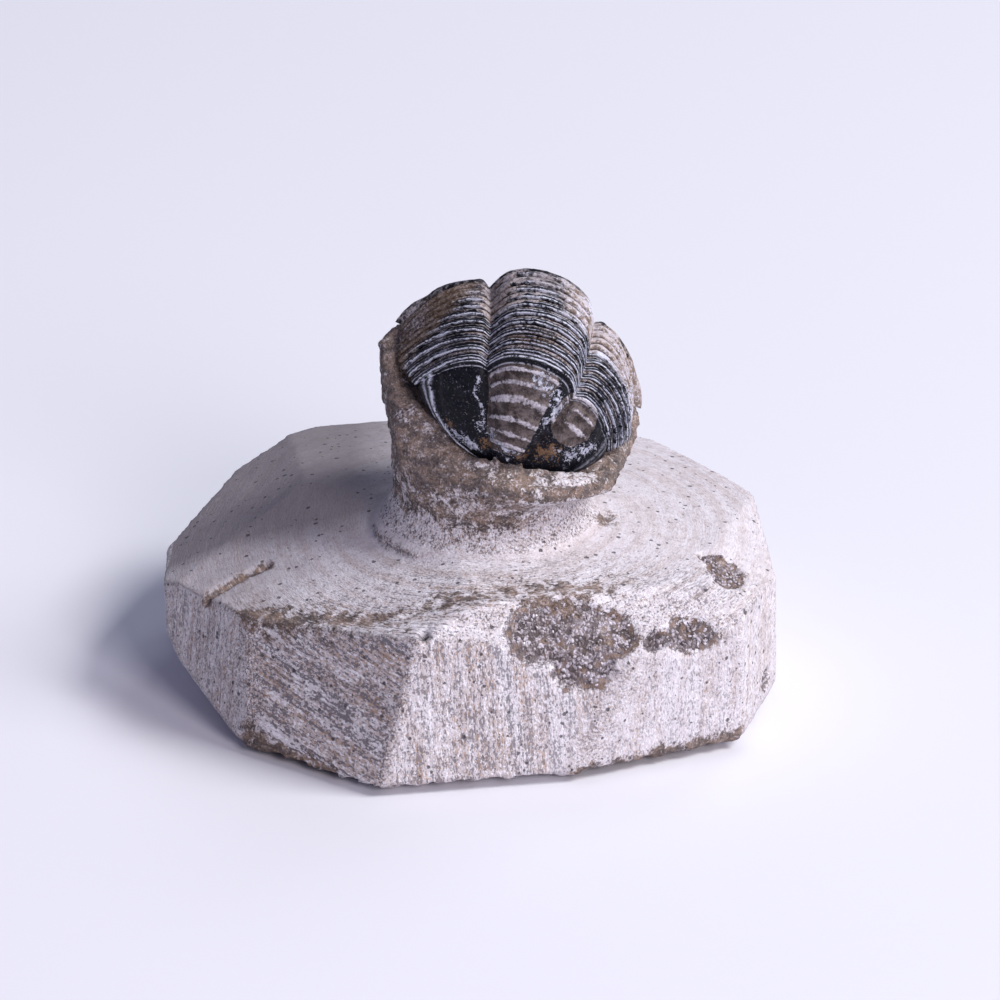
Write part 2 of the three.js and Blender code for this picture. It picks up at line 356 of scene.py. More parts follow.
# %% [markdown]
# ## The block's facets
# The block was ground on a wheel, one flat facet at a time, and each facet keeps its own direction of
# scratches. A row gives the direction that a facet faces, its distance from the block's axis, the height
# at which that is measured, how far it leans back, and how far its scratches are turned from upright. A
# list like this is quicker to change than a mesh, and later cells ask it which facet a point lies on.

# %% Facets and landmarks, in millimetres
SHIFT = np.array([0.011, -2.370, 0.0])
FACETS = [
    (-142, 24.0, 6, 10, 4),
    (-125, 24.0, 0, 13, 76),
    (-80, 22.1, 0, 4, 3),
    (-65, 22.9, 1, -4, 0),
    (-20, 27.7, 8, 0, -4),
    (5, 26.9, 12, 2, 10),
    (33, 26.6, 12, 0, -8),
    (60, 27.8, 12, 0, 0),
    (97, 27.6, 12, 0, 6),
    (130, 29.3, 12, 0, -5),
    (158, 28.0, 12, 0, 12),
    (182, 27.4, 8, -3, 0),
    (-165, 22.6, 0, -40, 50),
    (-18, 26.8, 0, -22, 40),
    (100, 24.5, 0, -40, 30),
    (180, 22.6, 0, -35, 60),
    (0, 0, 0, -90, 0),
]
TOP = len(FACETS)
NECK = TOP + 1
NECK_AT = (1.711, -3.270)
NECK_FROM = 17.4
CUP_FROM = 20.5
# the top is a low cone round the block's axis
TOP_LIFT = 18.7
TOP_FALL = 0.16
TOP_FROM = 11.0
LIP = [
    (-7.2, -5.4, 29.6), (-6.5, -7.9, 26.1), (-3.8, -10.2, 24.9), (-1.1, -12.0, 24.1),
    (2.8, -13.6, 23.5), (6.3, -13.8, 23.2), (10.3, -12.4, 23.2), (12.9, -9.9, 22.7),
    (13.6, -6.4, 22.9), (14.7, -1.9, 23.4), (15.6, 1.6, 24.4), (15.0, 4.6, 25.0),
    (11.0, 6.4, 25.8), (5.0, 7.6, 27.8), (-1.0, 6.6, 29.4), (-6.5, 2.6, 28.6),
]
print("facets:", len(FACETS), "and the top and the neck")

# %% [markdown]
# ## The shape of a rolled trilobite
# A rolled trilobite follows a rule. Along the middle it follows a squarish oval, given here by an angle.
# At any place along it, the body arches from tip to tip in three lobes: a raised middle and two sides,
# with a furrow on either side of the middle. So a plate can be made by bending a thin box: its long side
# runs from tip to tip, its short side along the body, and its thickness towards the middle of the roll.
#
# Geometry Nodes suit this, because the rule is the same for the tail shield, the ten rings of the thorax
# and the head shield, and only the sizes differ. The sizes are the tree's named inputs.

# %% Sizes of the animal, in millimetres and degrees
FOSSIL_AT = Vector((3.521, -3.870, 26.71))
FOSSIL_TURN = Euler((0, math.radians(20), math.radians(-2)))
PROFILE_FRONT = 9.0
PROFILE_BACK = 8.6
PROFILE_TOP = 8.1
PROFILE_BOTTOM = 9.3
PROFILE_MIDDLE = 5.2
PROFILE_POWER = 0.8
FURROW_HEIGHT = 0.7
FURROW_GROOVE = 0.05
FURROW_WIDTH = 0.6
ROLL_MIDDLE = (0.0, 0.0, 4.5)
MARGIN_END = math.radians(86)
# how far out a plate's inside face lies, as a share of the smooth outside
PLATE_INSIDE = 0.968
SEGMENTS = 10


def midline(angle):
    """A point of the body's middle line, as forward and up, in plain numbers."""
    c = math.cos(math.radians(angle))
    s = math.sin(math.radians(angle))
    reach = PROFILE_FRONT if c > 0 else PROFILE_BACK
    rise = PROFILE_TOP if s > 0 else PROFILE_BOTTOM
    forward = math.copysign(reach * abs(c) ** PROFILE_POWER, c)
    return forward, PROFILE_MIDDLE + math.copysign(rise * abs(s) ** PROFILE_POWER, s)


def region(angles, widths, widening, rounding, axis, ends, ends_power, drift, start):
    """One region of the body, as the values of the bending tree's inputs. Pairs go from start to end."""
    return {
        "Angle from": float(angles[0]), "Angle to": float(angles[1]),
        "Half width from": widths[0], "Half width to": widths[1], "Widening": widening,
        "Rounded": 1.0 if rounding else 0.0, "Rounding": rounding or 2.0,
        "Axis from": axis[0], "Axis to": axis[1],
        "Tip forward from": ends[0][0], "Tip up from": ends[0][1],
        "Tip forward to": ends[1][0], "Tip up to": ends[1][1], "Tip power": ends_power,
        "Drift from": drift[0], "Drift to": drift[1], "Start": start,
    }


TAIL_TIP = midline(-50)
HEAD_FRONT = midline(196)
TAIL_CORNER = (3.0, 1.2)
HEAD_CORNER = (-2.9, 3.9)
TAIL = region(
    angles=(26, -50), widths=(8.9, 8.9), widening=0.0, rounding=2.0, axis=(4.0, 0.8),
    ends=(TAIL_CORNER, TAIL_TIP), ends_power=1.5, drift=(0.0, 0.6), start=0.0,
)
THORAX = region(
    angles=(26, 102), widths=(8.9, 10.8), widening=2.2, rounding=None, axis=(4.0, 4.8),
    ends=(TAIL_CORNER, HEAD_CORNER), ends_power=1.0, drift=(0.0, -0.6), start=0.0,
)
HEAD = region(
    angles=(102, 196), widths=(10.8, 11.8), widening=5.0, rounding=2.2, axis=(4.8, 4.3),
    ends=(HEAD_CORNER, HEAD_FRONT), ends_power=1.5, drift=(-0.6, 0.0), start=0.02,
)
print("tail tip at", [round(v, 1) for v in TAIL_TIP], "head front at", [round(v, 1) for v in HEAD_FRONT])


# %% The bending rule, as sums on fields
def field_midline(tree, angle):
    c = tree.maths("COSINE", angle)
    s = tree.maths("SINE", angle)
    reach = PROFILE_BACK + (PROFILE_FRONT - PROFILE_BACK) * (c > 0.0)
    rise = PROFILE_BOTTOM + (PROFILE_TOP - PROFILE_BOTTOM) * (s > 0.0)
    forward = tree.maths("SIGN", c) * reach * tree.size(c) ** PROFILE_POWER
    return forward, PROFILE_MIDDLE + tree.maths("SIGN", s) * rise * tree.size(s) ** PROFILE_POWER


def field_arch(tree, x, axis, half_width):
    """Height of the three-lobed arch as a share, and how far out the place is on a side lobe."""
    off = tree.size(x)
    inner = tree.least(off / axis, 1.0)
    out = tree.least(tree.most((off - axis) / tree.most(half_width - axis, 0.05), 0.0), 1.0)
    middle = FURROW_HEIGHT + (1 - FURROW_HEIGHT) * tree.most(1 - inner * inner, 0.0) ** 0.6
    side = FURROW_HEIGHT * tree.most(1 - out**2.1, 0.0) ** 0.8
    is_side = off > axis
    groove = FURROW_GROOVE * tree.hump(off, axis, FURROW_WIDTH)
    return tree.between(middle, side, is_side) - groove, out, is_side


def spread(tree, share):
    """Steps from tip to tip, closer together at the tips."""
    return tree.maths("SINE", share * (math.pi / 2)) * 0.35 + share * 0.65


def bent_plate_tree(name, relief, material, start_sizes, inner=PLATE_INSIDE):
    """A Geometry Nodes tree that bends a box into a plate, with the relief that a function gives."""
    sizes = dict(start_sizes)
    sizes.update({"First": 0.0, "Last": 1.0, "Steps across": 200, "Steps along": 40, "Seed": 0.0})
    tree, given = geometry_tree(name, sizes)
    steps = {"Vertices X": given["Steps across"], "Vertices Y": given["Steps along"], "Vertices Z": 2}
    box = tree.node("GeometryNodeMeshCube", None, {"Size": (1, 1, 1), **steps})
    x, y, z = tree.parts(tree.node("GeometryNodeInputPosition"))
    across = spread(tree, x * 2)
    step = y + 0.5
    outside = z > 0.0
    # share of the region's length
    seeded = tree.joined(across * 6, step + given["First"] * 40, given["Seed"])
    wander = (tree.noise(seeded, 1.0) - 0.5) * given["Wander"]
    run = tree.between(given["First"], given["Last"], step) + wander
    curved = given["Start"] + (1 - given["Start"]) * tree.maths("SINE", run * MARGIN_END)
    share = tree.between(run, curved, given["Rounded"])
    # width, tips and crest there
    widening = tree.maths("SINE", tree.least(share * given["Widening"], 1.0) * (math.pi / 2))
    full = tree.between(given["Half width from"], given["Half width to"], widening)
    round_end = tree.most(1 - share ** given["Rounding"], 0.0) ** 0.5
    half_width = full * tree.between(1.0 + share * 0, round_end, given["Rounded"])
    axis = tree.least(tree.between(given["Axis from"], given["Axis to"], share), half_width * 0.8)
    tips = share ** given["Tip power"]
    tip_forward = tree.between(given["Tip forward from"], given["Tip forward to"], tips)
    tip_up = tree.between(given["Tip up from"], given["Tip up to"], tips)
    angle = tree.between(given["Angle from"], given["Angle to"], share) * (math.pi / 180)
    crest_forward, crest_up = field_midline(tree, angle)
    x_mm = across * half_width
    arch, out, is_side = field_arch(tree, x_mm, axis, half_width)
    drift = tree.between(given["Drift from"], given["Drift to"], share)
    forward = tree.between(tip_forward, crest_forward, arch)
    up = tree.between(tip_up, crest_up, arch)
    smooth = tree.joined(x_mm + drift, -forward, up)
    # relief, outwards from the middle of the roll
    facts = {
        "x": x_mm, "out": out, "is_side": is_side, "share": share, "step": step,
        "across": across, "place": smooth, "seed": given["Seed"],
    }
    height = relief(tree, facts)
    away = tree.vectors("SUBTRACT", smooth, ROLL_MIDDLE)
    length = tree.vectors("LENGTH", away, output=1)
    depth = tree.between(inner, 1 + height / length, outside)
    place = tree.vectors("ADD", tree.scaled(away, depth), ROLL_MIDDLE)
    # facts that the finish reads, stored while the box is still straight
    facts_kept = {
        "relief": height, "share": share, "step": step, "out": out,
        "side": x_mm, "rim": tree.size(across),
    }
    for label, value in facts_kept.items():
        box = store(tree, box, label, value)
    shaped = tree.node("GeometryNodeSetPosition", None, {"Geometry": box, "Position": place})
    turn = (FOSSIL_TURN.x, FOSSIL_TURN.y, FOSSIL_TURN.z)
    move = {"Geometry": shaped, "Translation": tuple(FOSSIL_AT * MM), "Rotation": turn}
    placed = tree.node("GeometryNodeTransform", None, {**move, "Scale": (MM, MM, MM)})
    end_tree(tree, placed, material)
    return tree


print("a plate is a bent box, with sizes for angles, widths, tips and steps")

# %% [markdown]
# ## Helpers for finishes
# Every finish reads Object coordinates, so a pattern stays put on its piece, and what follows the surface
# is read from named attributes. Few helpers are needed: one to mix two colours, one to read an attribute,
# one to turn metres into millimetres, and one for a bump.


# %% Helpers for materials
def mixed(tree, factor, a, b):
    """Mixes two colours."""
    sockets = {0: factor, 6: a, 7: b}
    return tree.node("ShaderNodeMix", {"data_type": "RGBA"}, sockets, 2)


def colour(red, green, blue):
    return (red, green, blue, 1.0)


def attribute(tree, name, output=2):
    """A stored attribute, as a number (output 2) or a vector (output 1)."""
    return tree.node("ShaderNodeAttribute", {"attribute_name": name}, None, output)


def place_in_mm(tree):
    object_place = tree.node("ShaderNodeTexCoord", None, None, 3)
    return tree.scaled(object_place, 1 / MM)


def bumped(tree, height, depth):
    """A bump of a given depth in millimetres."""
    return tree.node("ShaderNodeBump", None, {"Height": height, "Strength": 1.0, "Distance": depth * MM})


print("helpers for finishes are ready")

# %% [markdown]
# ## Ground limestone
# Limestone that has been ground is pale and dusty: fine bright and dark grains, black specks, and streaks
# along the grinder's path with a little iron stain. One flat pattern would do for one facet, but it would
# stretch or show its seams on the next. So the grains are noise in the scratches' own coordinates, which
# the block's mesh carries with four more facts: how `clear` of an edge a point is, how deeply `scored`,
# how much `stain` it has, and how much shade is painted into its colour.

# %% Colours of the stone
PALE = colour(0.66, 0.625, 0.665)
WARM = colour(0.50, 0.435, 0.435)
DUST = colour(0.90, 0.885, 0.95)
GRAIN_DARK = colour(0.105, 0.095, 0.115)
GRAIN_RUST = colour(0.44, 0.285, 0.185)
SPECK = colour(0.035, 0.031, 0.038)
# the colour of the painted shade on the top's left half and in the fossil's shadow
SHADE_TONE = colour(0.20, 0.175, 0.190)
RUST = colour(0.235, 0.155, 0.110)
BREAK_DARK = colour(0.085, 0.068, 0.070)
BREAK_MID = colour(0.215, 0.180, 0.188)
BREAK_LIGHT = colour(0.58, 0.54, 0.60)
BROWN = colour(0.060, 0.042, 0.035)
print("stone colours, linear light: pale", PALE[:3], "dust", DUST[:3])

# %% Ground stone
limestone, tree, shader = new_material("ground limestone")
place = place_in_mm(tree)
scratch = attribute(tree, "scratch", 1)
clear = attribute(tree, "clear")
scored = attribute(tree, "scored")
stain = attribute(tree, "stain")
fine = tree.noise(place, 3.4, 3.0, 0.75)
medium = tree.noise(place, 0.9, 4.0, 0.65)
broad = tree.noise(place, 0.16, 3.0, 0.5)
# three independent fields of grains, a little longer along the scratches
long_grains = tree.noise(tree.stretched(scratch, (4.6, 2.3, 1.0)), 1.0, 2.0, 0.7, output=1)
round_grains = tree.noise(place, 4.4, 2.0, 0.7, output=1)
long_parts = tree.parts(long_grains)
round_parts = tree.parts(round_grains)
dark_grain, white_grain, rust_grain = [
    tree.between(rounded, stretched * 0.75 + rounded * 0.25, clear)
    for rounded, stretched in zip(round_parts, long_parts)
]
bands = (tree.noise(tree.stretched(scratch, (0.8, 0.07, 1.0)), 1.0, 3.0, 0.6) - 0.5) * clear + 0.5
streaks = (tree.noise(tree.stretched(scratch, (2.6, 0.16, 1.0)), 1.0, 3.0, 0.65) - 0.5) * clear + 0.5
warm = tree.fade(bands * 0.55 + medium * 0.3 + streaks * 0.15 + stain * 0.05, 0.44, 0.60)
ground = mixed(tree, warm * (0.35 + stain * 0.65), PALE, WARM)
striped = (streaks - 0.5) * 0.35 * scored
dark_share = tree.fade(dark_grain - striped * 1.6 + (medium - 0.5) * 0.26 + stain * 0.045, 0.51, 0.60)
ground = mixed(tree, dark_share * (0.14 + scored * 0.72), ground, GRAIN_DARK)
white_share = tree.fade(white_grain + striped * 1.6 - (medium - 0.5) * 0.16 - stain * 0.02, 0.51, 0.61)
ground = mixed(tree, white_share * (0.2 + scored * 0.6), ground, DUST)
rust_share = tree.fade(rust_grain + (bands - 0.5) * 0.4 + stain * 0.03, 0.57, 0.66)
ground = mixed(tree, rust_share * (0.2 + scored * 0.5), ground, GRAIN_RUST)
# painted shade: the top darkened behind the neck, where the fossil's shadow falls, and on its left half
ground = mixed(tree, attribute(tree, "painted_shade") * 0.9, ground, SHADE_TONE)
speck_size = tree.parts(tree.cells(place, 1.35, output=1))[1]
speck_place = tree.cells(place, 1.35) + (fine - 0.5) * 0.45
speck = tree.fade(speck_place - speck_size * speck_size * speck_size * 0.26, 0.04, 0.0)
ground = mixed(tree, speck * 0.8, ground, SPECK)
print("ground stone, nodes:", len(limestone.node_tree.nodes))

# %% [markdown]
# ## Broken, stained and shaded limestone
# Where the stone was never ground it is a brown-grey break, made of crystal faces, with painted glints as
# pale spots. The cup and the low edges are stained brown by clay, and the same brown paints shade on the
# neck under the fossil, under the lip at the front left and along the bottom front edge. Both are a second
# and a third colour on the same material, mixed in where the mesh says `broken` or `brown`. The noise
# that is added to those facts makes their edges ragged, as a real break's edge is.

# %% Broken stone, stains and painted shade
crystals = tree.cells(place, 1.7, output=1)
crystal_tone = tree.parts(crystals)[0]
in_light = tree.fade(crystal_tone * 0.25 + medium * 0.8, 0.40, 0.66)
broken_colour = mixed(tree, in_light, BREAK_DARK, BREAK_MID)
# painted glints: pale spots for light glinting off the crystal faces
sparkle = tree.fade(fine * 0.9 + crystal_tone * 0.2, 0.58, 0.72)
broken_colour = mixed(tree, sparkle, broken_colour, BREAK_LIGHT)
broken_colour = mixed(tree, tree.fade(medium + broad * 0.4, 0.70, 0.82) * 0.7, broken_colour, RUST)
ragged = (fine - 0.5) * 0.8 + (medium - 0.5) * 1.3
broken = tree.fade(attribute(tree, "broken") + ragged, 0.42, 0.56)
# brown stain: grain by grain, so its edge is a crumbly one
crumbly = (dark_grain - 0.5) * 1.3 + (medium - 0.5) * 2.4
brown = tree.fade(attribute(tree, "brown") + crumbly, 0.34, 0.80)
stone_colour = mixed(tree, broken, ground, broken_colour)
patches = tree.noise(tree.stretched(place, (0.55, 0.55, 1.1)), 1.0, 4.0, 0.65)
browned = mixed(tree, tree.fade(fine * 0.3 + patches * 0.7, 0.42, 0.60), BROWN, RUST)
pale_grain = tree.fade(white_grain * 0.45 + patches * 0.30 + medium * 0.30, 0.56, 0.65)
browned = mixed(tree, pale_grain * 0.75, browned, WARM)
# the brown mask holds real stains and also painted shade: the neck under the fossil, the lip's underside
# and the bottom front edge
stone_colour = mixed(tree, brown * 0.88, stone_colour, browned)
# painted shade: the pit is painted black, for the shade inside it
stone_colour = mixed(tree, attribute(tree, "pit"), stone_colour, SPECK)

# %% Feed the stone's shader
tree.feed(shader.inputs["Base Color"], stone_colour)
tree.feed(shader.inputs["Roughness"], 0.95 - broken * 0.45 * tree.fade(crystal_tone, 0.5, 0.9))
height = white_grain * 1.2 - dark_grain * 1.0 + streaks * 0.5 - speck * 0.5 + broken * crystal_tone * 1.6
tree.feed(shader.inputs["Normal"], bumped(tree, height * (0.3 + scored * 0.7), 0.17))
print("limestone nodes:", len(limestone.node_tree.nodes))

# %% [markdown]
# ## The block, its neck and its cup
# A solid made of flat facets looks like a gem, not like stone. It could be bevelled, but a bevel is too
# even. So a copy of the solid is remeshed into small even faces, about a third of a millimetre across.
# That rounds the facets' edges a little, as handling does, and gives the displacement something to move.
# Before that, the stone that fills the rolled animal is raised to just under the shell, so that the seams
# between its plates show stone, not darkness.

# %% A copy of the solid, and the stone inside the shell
STONE_UNDER_SHELL = 0.962


def no_relief(tree, facts):
    return facts["x"] * 0


def merged_copy(node, name):
    """A copy of a solid with its loose triangles joined up."""
    shape = bmesh.new()
    shape.from_mesh(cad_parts[node].data)
    bmesh.ops.remove_doubles(shape, verts=shape.verts, dist=0.002 * MM)
    copy = new_object(name)
    shape.to_mesh(copy.data)
    shape.free()
    return copy


block = merged_copy("limestone_matrix", "limestone")
filling_tree = bent_plate_tree("filling", no_relief, limestone, {**TAIL, "Wander": 0.0}, inner=0.3)
fillings = []
# the tail's angles run the other way, so its box runs from last to first to keep its faces pointing out
WHOLE_BODY = [("tail", TAIL, 1.0, 0.0), ("thorax", THORAX, 0.0, 1.0), ("head", HEAD, 0.0, 1.0)]
for label, sizes, first, last in WHOLE_BODY:
    filling = new_object("filling " + label)
    steps = {"First": first, "Last": last, "Steps across": 90, "Steps along": 40, "Seed": 0.0}
    fillings.append(frozen(filling, filling_tree, {**sizes, **steps, "Wander": 0.0}))


def scaled_about_roll(piece, factor):
    """Shrinks a filling towards the middle of the roll, so that it ends under the shell."""
    turned = FOSSIL_TURN.to_matrix() @ Vector(ROLL_MIDDLE)
    middle = (FOSSIL_AT + turned) * MM
    for vertex in piece.data.vertices:
        vertex.co = middle + (vertex.co - middle) * factor


for filling in fillings:
    scaled_about_roll(filling, STONE_UNDER_SHELL)

# %% Join and remesh
VOXEL = 0.335
shape = bmesh.new()
shape.from_mesh(block.data)
for filling in fillings:
    shape.from_mesh(filling.data)
    bpy.data.objects.remove(filling)
shape.to_mesh(block.data)
shape.free()
block.data.materials.clear()
remesh = block.modifiers.new("even faces", "REMESH")
remesh.mode = "VOXEL"
remesh.voxel_size = VOXEL * MM
graph = bpy.context.evaluated_depsgraph_get()
even = bpy.data.meshes.new_from_object(block.evaluated_get(graph))
block.modifiers.clear()
block.data = even
print("remeshed block faces:", len(even.polygons))

# %% [markdown]
# ### Which facet, and which way the scratches run
# Numpy can ask every vertex at once how far outside every facet it is. The largest answer names the facet
# that it lies on, and with it the scratches' direction. A texture map could hold that, but it would need
# unwrapping. Instead the scratches' own coordinates are stored as a vector, with x across them and y along
# them. On the top and on the neck the tool went round the fossil, so there the coordinates are polar.


# %% Scratch coordinates
def points_of(mesh):
    flat = np.zeros(len(mesh.vertices) * 3, np.float32)
    mesh.vertices.foreach_get("co", flat)
    return flat.reshape(-1, 3) / MM


def facet_normal(azimuth, lean):
    a, tip = math.radians(azimuth), math.radians(lean)
    return np.array([math.cos(a) * math.cos(tip), math.sin(a) * math.cos(tip), math.sin(tip)])


def facet_distances(points):
    """How far each point is outside each facet, then outside the top and the neck."""
    columns = []
    for azimuth, distance, height, lean, _ in FACETS:
        a = math.radians(azimuth)
        on_facet = np.array([math.cos(a) * distance, math.sin(a) * distance, height]) + SHIFT
        columns.append((points - on_facet) @ facet_normal(azimuth, lean))
    radius = np.hypot(points[:, 0] - SHIFT[0], points[:, 1] - SHIFT[1])
    columns.append((points[:, 2] - (TOP_LIFT - TOP_FALL * radius)) - 0.15)
    columns.append(np.where(points[:, 2] > NECK_FROM, 50.0, -50.0))
    return np.stack(columns, axis=1)


def scratch_coordinates(points, level):
    """Scratch coordinates, the facet, and how clear of its edges a point is. level is 1 facing up."""
    distances = facet_distances(points)
    nearest = np.argmax(distances, axis=1)
    side = np.argmax(distances[:, :TOP], axis=1)
    on_top = (level > 0.6) & (points[:, 2] > TOP_FROM) & (nearest != NECK)
    nearest = np.where(on_top, TOP, np.where(nearest == TOP, side, nearest))
    result = np.zeros_like(points)
    for number, (azimuth, _, _, _, turn) in enumerate(FACETS):
        on = nearest == number
        a, t = math.radians(azimuth), math.radians(turn)
        sideways = points[on, 1] * math.cos(a) - points[on, 0] * math.sin(a)
        upright = points[on, 2]
        result[on, 0] = sideways * math.cos(t) + upright * math.sin(t)
        result[on, 1] = upright * math.cos(t) - sideways * math.sin(t)
        # the third coordinate only keeps one facet's noise apart from the next one's
        result[on, 2] = number * 7.3
    x, y = points[:, 0] - NECK_AT[0], points[:, 1] - NECK_AT[1]
    radius = np.hypot(x, y)
    # the angle is folded, not cut, so that no seam shows where it would start again
    around = np.abs((np.arctan2(y, x) - 0.9 + math.pi) % (2 * math.pi) - math.pi)
    on = nearest >= TOP
    # down the top and the stalk, then out along the cup, without a jump
    height = points[on, 2]
    result[on, 0] = radius[on] + np.where(height > CUP_FROM, height - 2 * CUP_FROM, -height)
    result[on, 1] = around[on] * 14.0
    result[on, 2] = 200.0
    # near an edge, and all over the neck, there are only round grains
    ranked = np.sort(distances[:, :TOP], axis=1)
    clear = np.clip((ranked[:, -1] - ranked[:, -2] - 0.2) / 0.4, 0, 1) * np.clip((0.5 - level) / 0.3, 0, 1)
    clear = np.where(nearest == TOP, np.clip((level - 0.6) / 0.25, 0, 1), clear)
    clear = np.where(nearest == NECK, 0.0, clear * np.clip((18.4 - points[:, 2]) / 1.5, 0, 1))
    return result, nearest, clear


def add_attribute(mesh, name, values, kind="FLOAT"):
    made = mesh.attributes.new(name, kind, "POINT")
    field = "vector" if kind == "FLOAT_VECTOR" else "value"
    made.data.foreach_set(field, values.astype(np.float32).ravel())


points = points_of(block.data)
normals = np.zeros(len(points) * 3, np.float32)
block.data.vertices.foreach_get("normal", normals)
scratches, nearest, clear = scratch_coordinates(points, normals.reshape(-1, 3)[:, 2])
add_attribute(block.data, "scratch", scratches, "FLOAT_VECTOR")
add_attribute(block.data, "clear", clear)
print("on the top:", int((nearest == TOP).sum()), "on the neck and cup:", int((nearest == NECK).sum()))

# %% [markdown]
# ### Broken patches, stains, the cup's brown edge and painted shade
# The grinder missed a few places, and there the stone is a rough brown-grey break: two patches on the
# front rim, one on the top right, a groove on the left, and chips along the bottom edge. Each could be
# cut out of the shape, but a mask on the vertices drives the shape and the finish together. It is a soft
# blob or line, with a value of 1 inside that falls off outside. The materials make its edge ragged. Some
# masks paint shade instead of stain: the neck under the fossil, the lip's underside at the front left, the
# bottom front edge and a pit are darkened in colour where shade falls.


# %% Helpers for masks
def blob(points, middle, reach):
    off = (points - np.array(middle)) / np.array(reach)
    return 1.5 - np.linalg.norm(off, axis=1)


def line_distance(points, start, end):
    start, end = np.array(start, float), np.array(end, float)
    run = end - start
    along = np.clip((points - start) @ run / (run @ run), 0, 1)
    return np.linalg.norm(points - start - along[:, None] * run, axis=1)


def line(points, start, end, reach):
    return 1.25 - line_distance(points, start, end) / reach


def strongest(*masks):
    return np.clip(np.maximum.reduce(masks), 0, 1)


def ramp(values, start, width):
    """0 at start and 1 a width further on; a negative width ramps the other way."""
    return np.clip((values - start) / width, 0, 1)


# %% Places of the breaks, stains and painted shade, in millimetres
BROKEN_BLOBS = [
    ((8.3, -21.0, 13.4), (5.6, 3.6, 2.7)),
    ((10.2, -22.4, 10.9), (2.9, 2.4, 2.3)),
    ((12.6, -20.6, 13.0), (2.2, 2.6, 1.9)),
    ((19.6, -19.0, 12.2), (2.3, 2.2, 1.5)),
    ((16.4, -20.4, 12.3), (1.1, 1.6, 0.8)),
    ((22.9, -11.2, 14.9), (1.9, 2.5, 1.5)),
    ((21.6, -9.4, 15.4), (1.2, 1.0, 0.8)),
    ((26.8, -10.4, 4.0), (0.9, 1.4, 1.0)),
]
GROOVE = ((-23.3, -9.8, 11.6), (-18.2, -6.7, 13.6))
BROWN_LINES = [
    ((-5.0, -22.8, 14.3), (-8.5, -21.6, 9.0), 0.5),
    ((-19.6, -17.6, 1.2), (-12.0, -22.2, 0.4), 1.9),
    ((10.0, -23.6, 0.6), (24.0, -16.6, 1.0), 1.4),
    # the last line darkens the bottom front edge: a painted contact shadow where the block meets the floor
    ((-12.0, -22.8, 0.0), (9.0, -24.4, 0.0), 0.45),
]
CREAM_BLOBS = [((9.0, -11.6, 23.9), (3.6, 1.6, 1.0)), ((2.4, -12.4, 24.8), (1.6, 1.2, 1.0))]
# a soft brown shade along the top edge of the darkest facet and along the front of the top
DARK_RIM = ((-19.5, -14.4, 12.2), (-7.0, -20.4, 14.0), 2.3)
FRONT_RIM = ((-6.0, -20.6, 15.4), (12.0, -17.0, 15.8), 2.8)
print(len(BROKEN_BLOBS), "broken patches,", len(BROWN_LINES), "brown lines and a groove")

# %% Broken, brown stain and painted shade
x_mm, y_mm, z_mm = points.T
broken = strongest(*[blob(points, middle, reach) for middle, reach in BROKEN_BLOBS])
groove = strongest(line(points, *GROOVE, 0.5))
# a real pit, dented into the shape; its black colour is painted shade
pit = strongest(blob(points, (-3.65, -24.1, 14.6), (0.42, 0.8, 0.42)))
brown_lines = strongest(*[line(points, *segment) for segment in BROWN_LINES])
rim_soft = np.maximum(line(points, *DARK_RIM) * 0.72, line(points, *FRONT_RIM) * 0.62)
lip_distance = np.full(len(points), 50.0)
for start, end in zip(LIP, LIP[1:] + LIP[:1]):
    lip_distance = np.minimum(lip_distance, line_distance(points, start, end))
lip = np.clip(1.6 - lip_distance / 0.75, 0, 1)
flank = ramp(z_mm, 25.5, 3.0) * ramp(x_mm, -3.2, -1.5)
cream = strongest(*[blob(points, middle, reach) for middle, reach in CREAM_BLOBS])
cup = ramp(z_mm, 21.6, 1.6) * (0.92 - 0.50 * cream)
# painted shade: the neck is darkened under the fossil, more on its left, and so is the lip's underside at
# the front left; both go into the brown mask with the real stains
stalk = ramp(z_mm, 17.6, 2.5) * np.maximum(ramp(x_mm, 9.5, -6.0), 0.3) * 0.74
under_left = blob(points, (-3.0, -9.0, 24.0), (5.6, 3.8, 2.8)) * 0.9
smudge = blob(points, (12.3, -4.0, 16.8), (1.5, 1.8, 1.0)) * 0.65
groove_stain = line(points, *GROOVE, 1.0)
brown = strongest(brown_lines, lip, groove_stain, flank * 0.8, cup, stalk, under_left, smudge, rim_soft)
for label, mask in {"broken": broken, "brown": brown, "pit": pit}.items():
    add_attribute(block.data, label, mask)
add_attribute(block.data, "dent", np.maximum(groove * 0.9, pit * 1.3))
print("broken vertices:", int((broken > 0.5).sum()), "brown:", int((brown > 0.5).sum()))

# %% [markdown]
# ### How each facet was worked, and where shade is painted
# The facets don't look alike. The one at the front left was ground hardest and stained most, and the top
# hardly shows its scratches except at the front. Shade is painted into the colour of the top's left half,
# behind the neck where the fossil's shadow falls and at the far left, and a little into the side facets.
# Three more facts on the vertices say so, chosen by the number of the facet that a vertex lies on.

# %% Stained and scored facets, and painted shade
HARDEST = 1
beside_hardest = np.isin(nearest, [0, 2])
faced = np.where(beside_hardest, 0.6, np.where(nearest == HARDEST, 1.0, 0.25))
side_scored = 0.78 - 0.28 * ramp(x_mm, 4.0, 10.0)
top_scored = 0.12 + 0.75 * ramp(y_mm, -9.0, -9.0)
upper_scored = np.where(nearest == TOP, top_scored, 0.9)
scored = np.where(nearest == HARDEST, 1.0, np.where(nearest < TOP, side_scored, upper_scored))
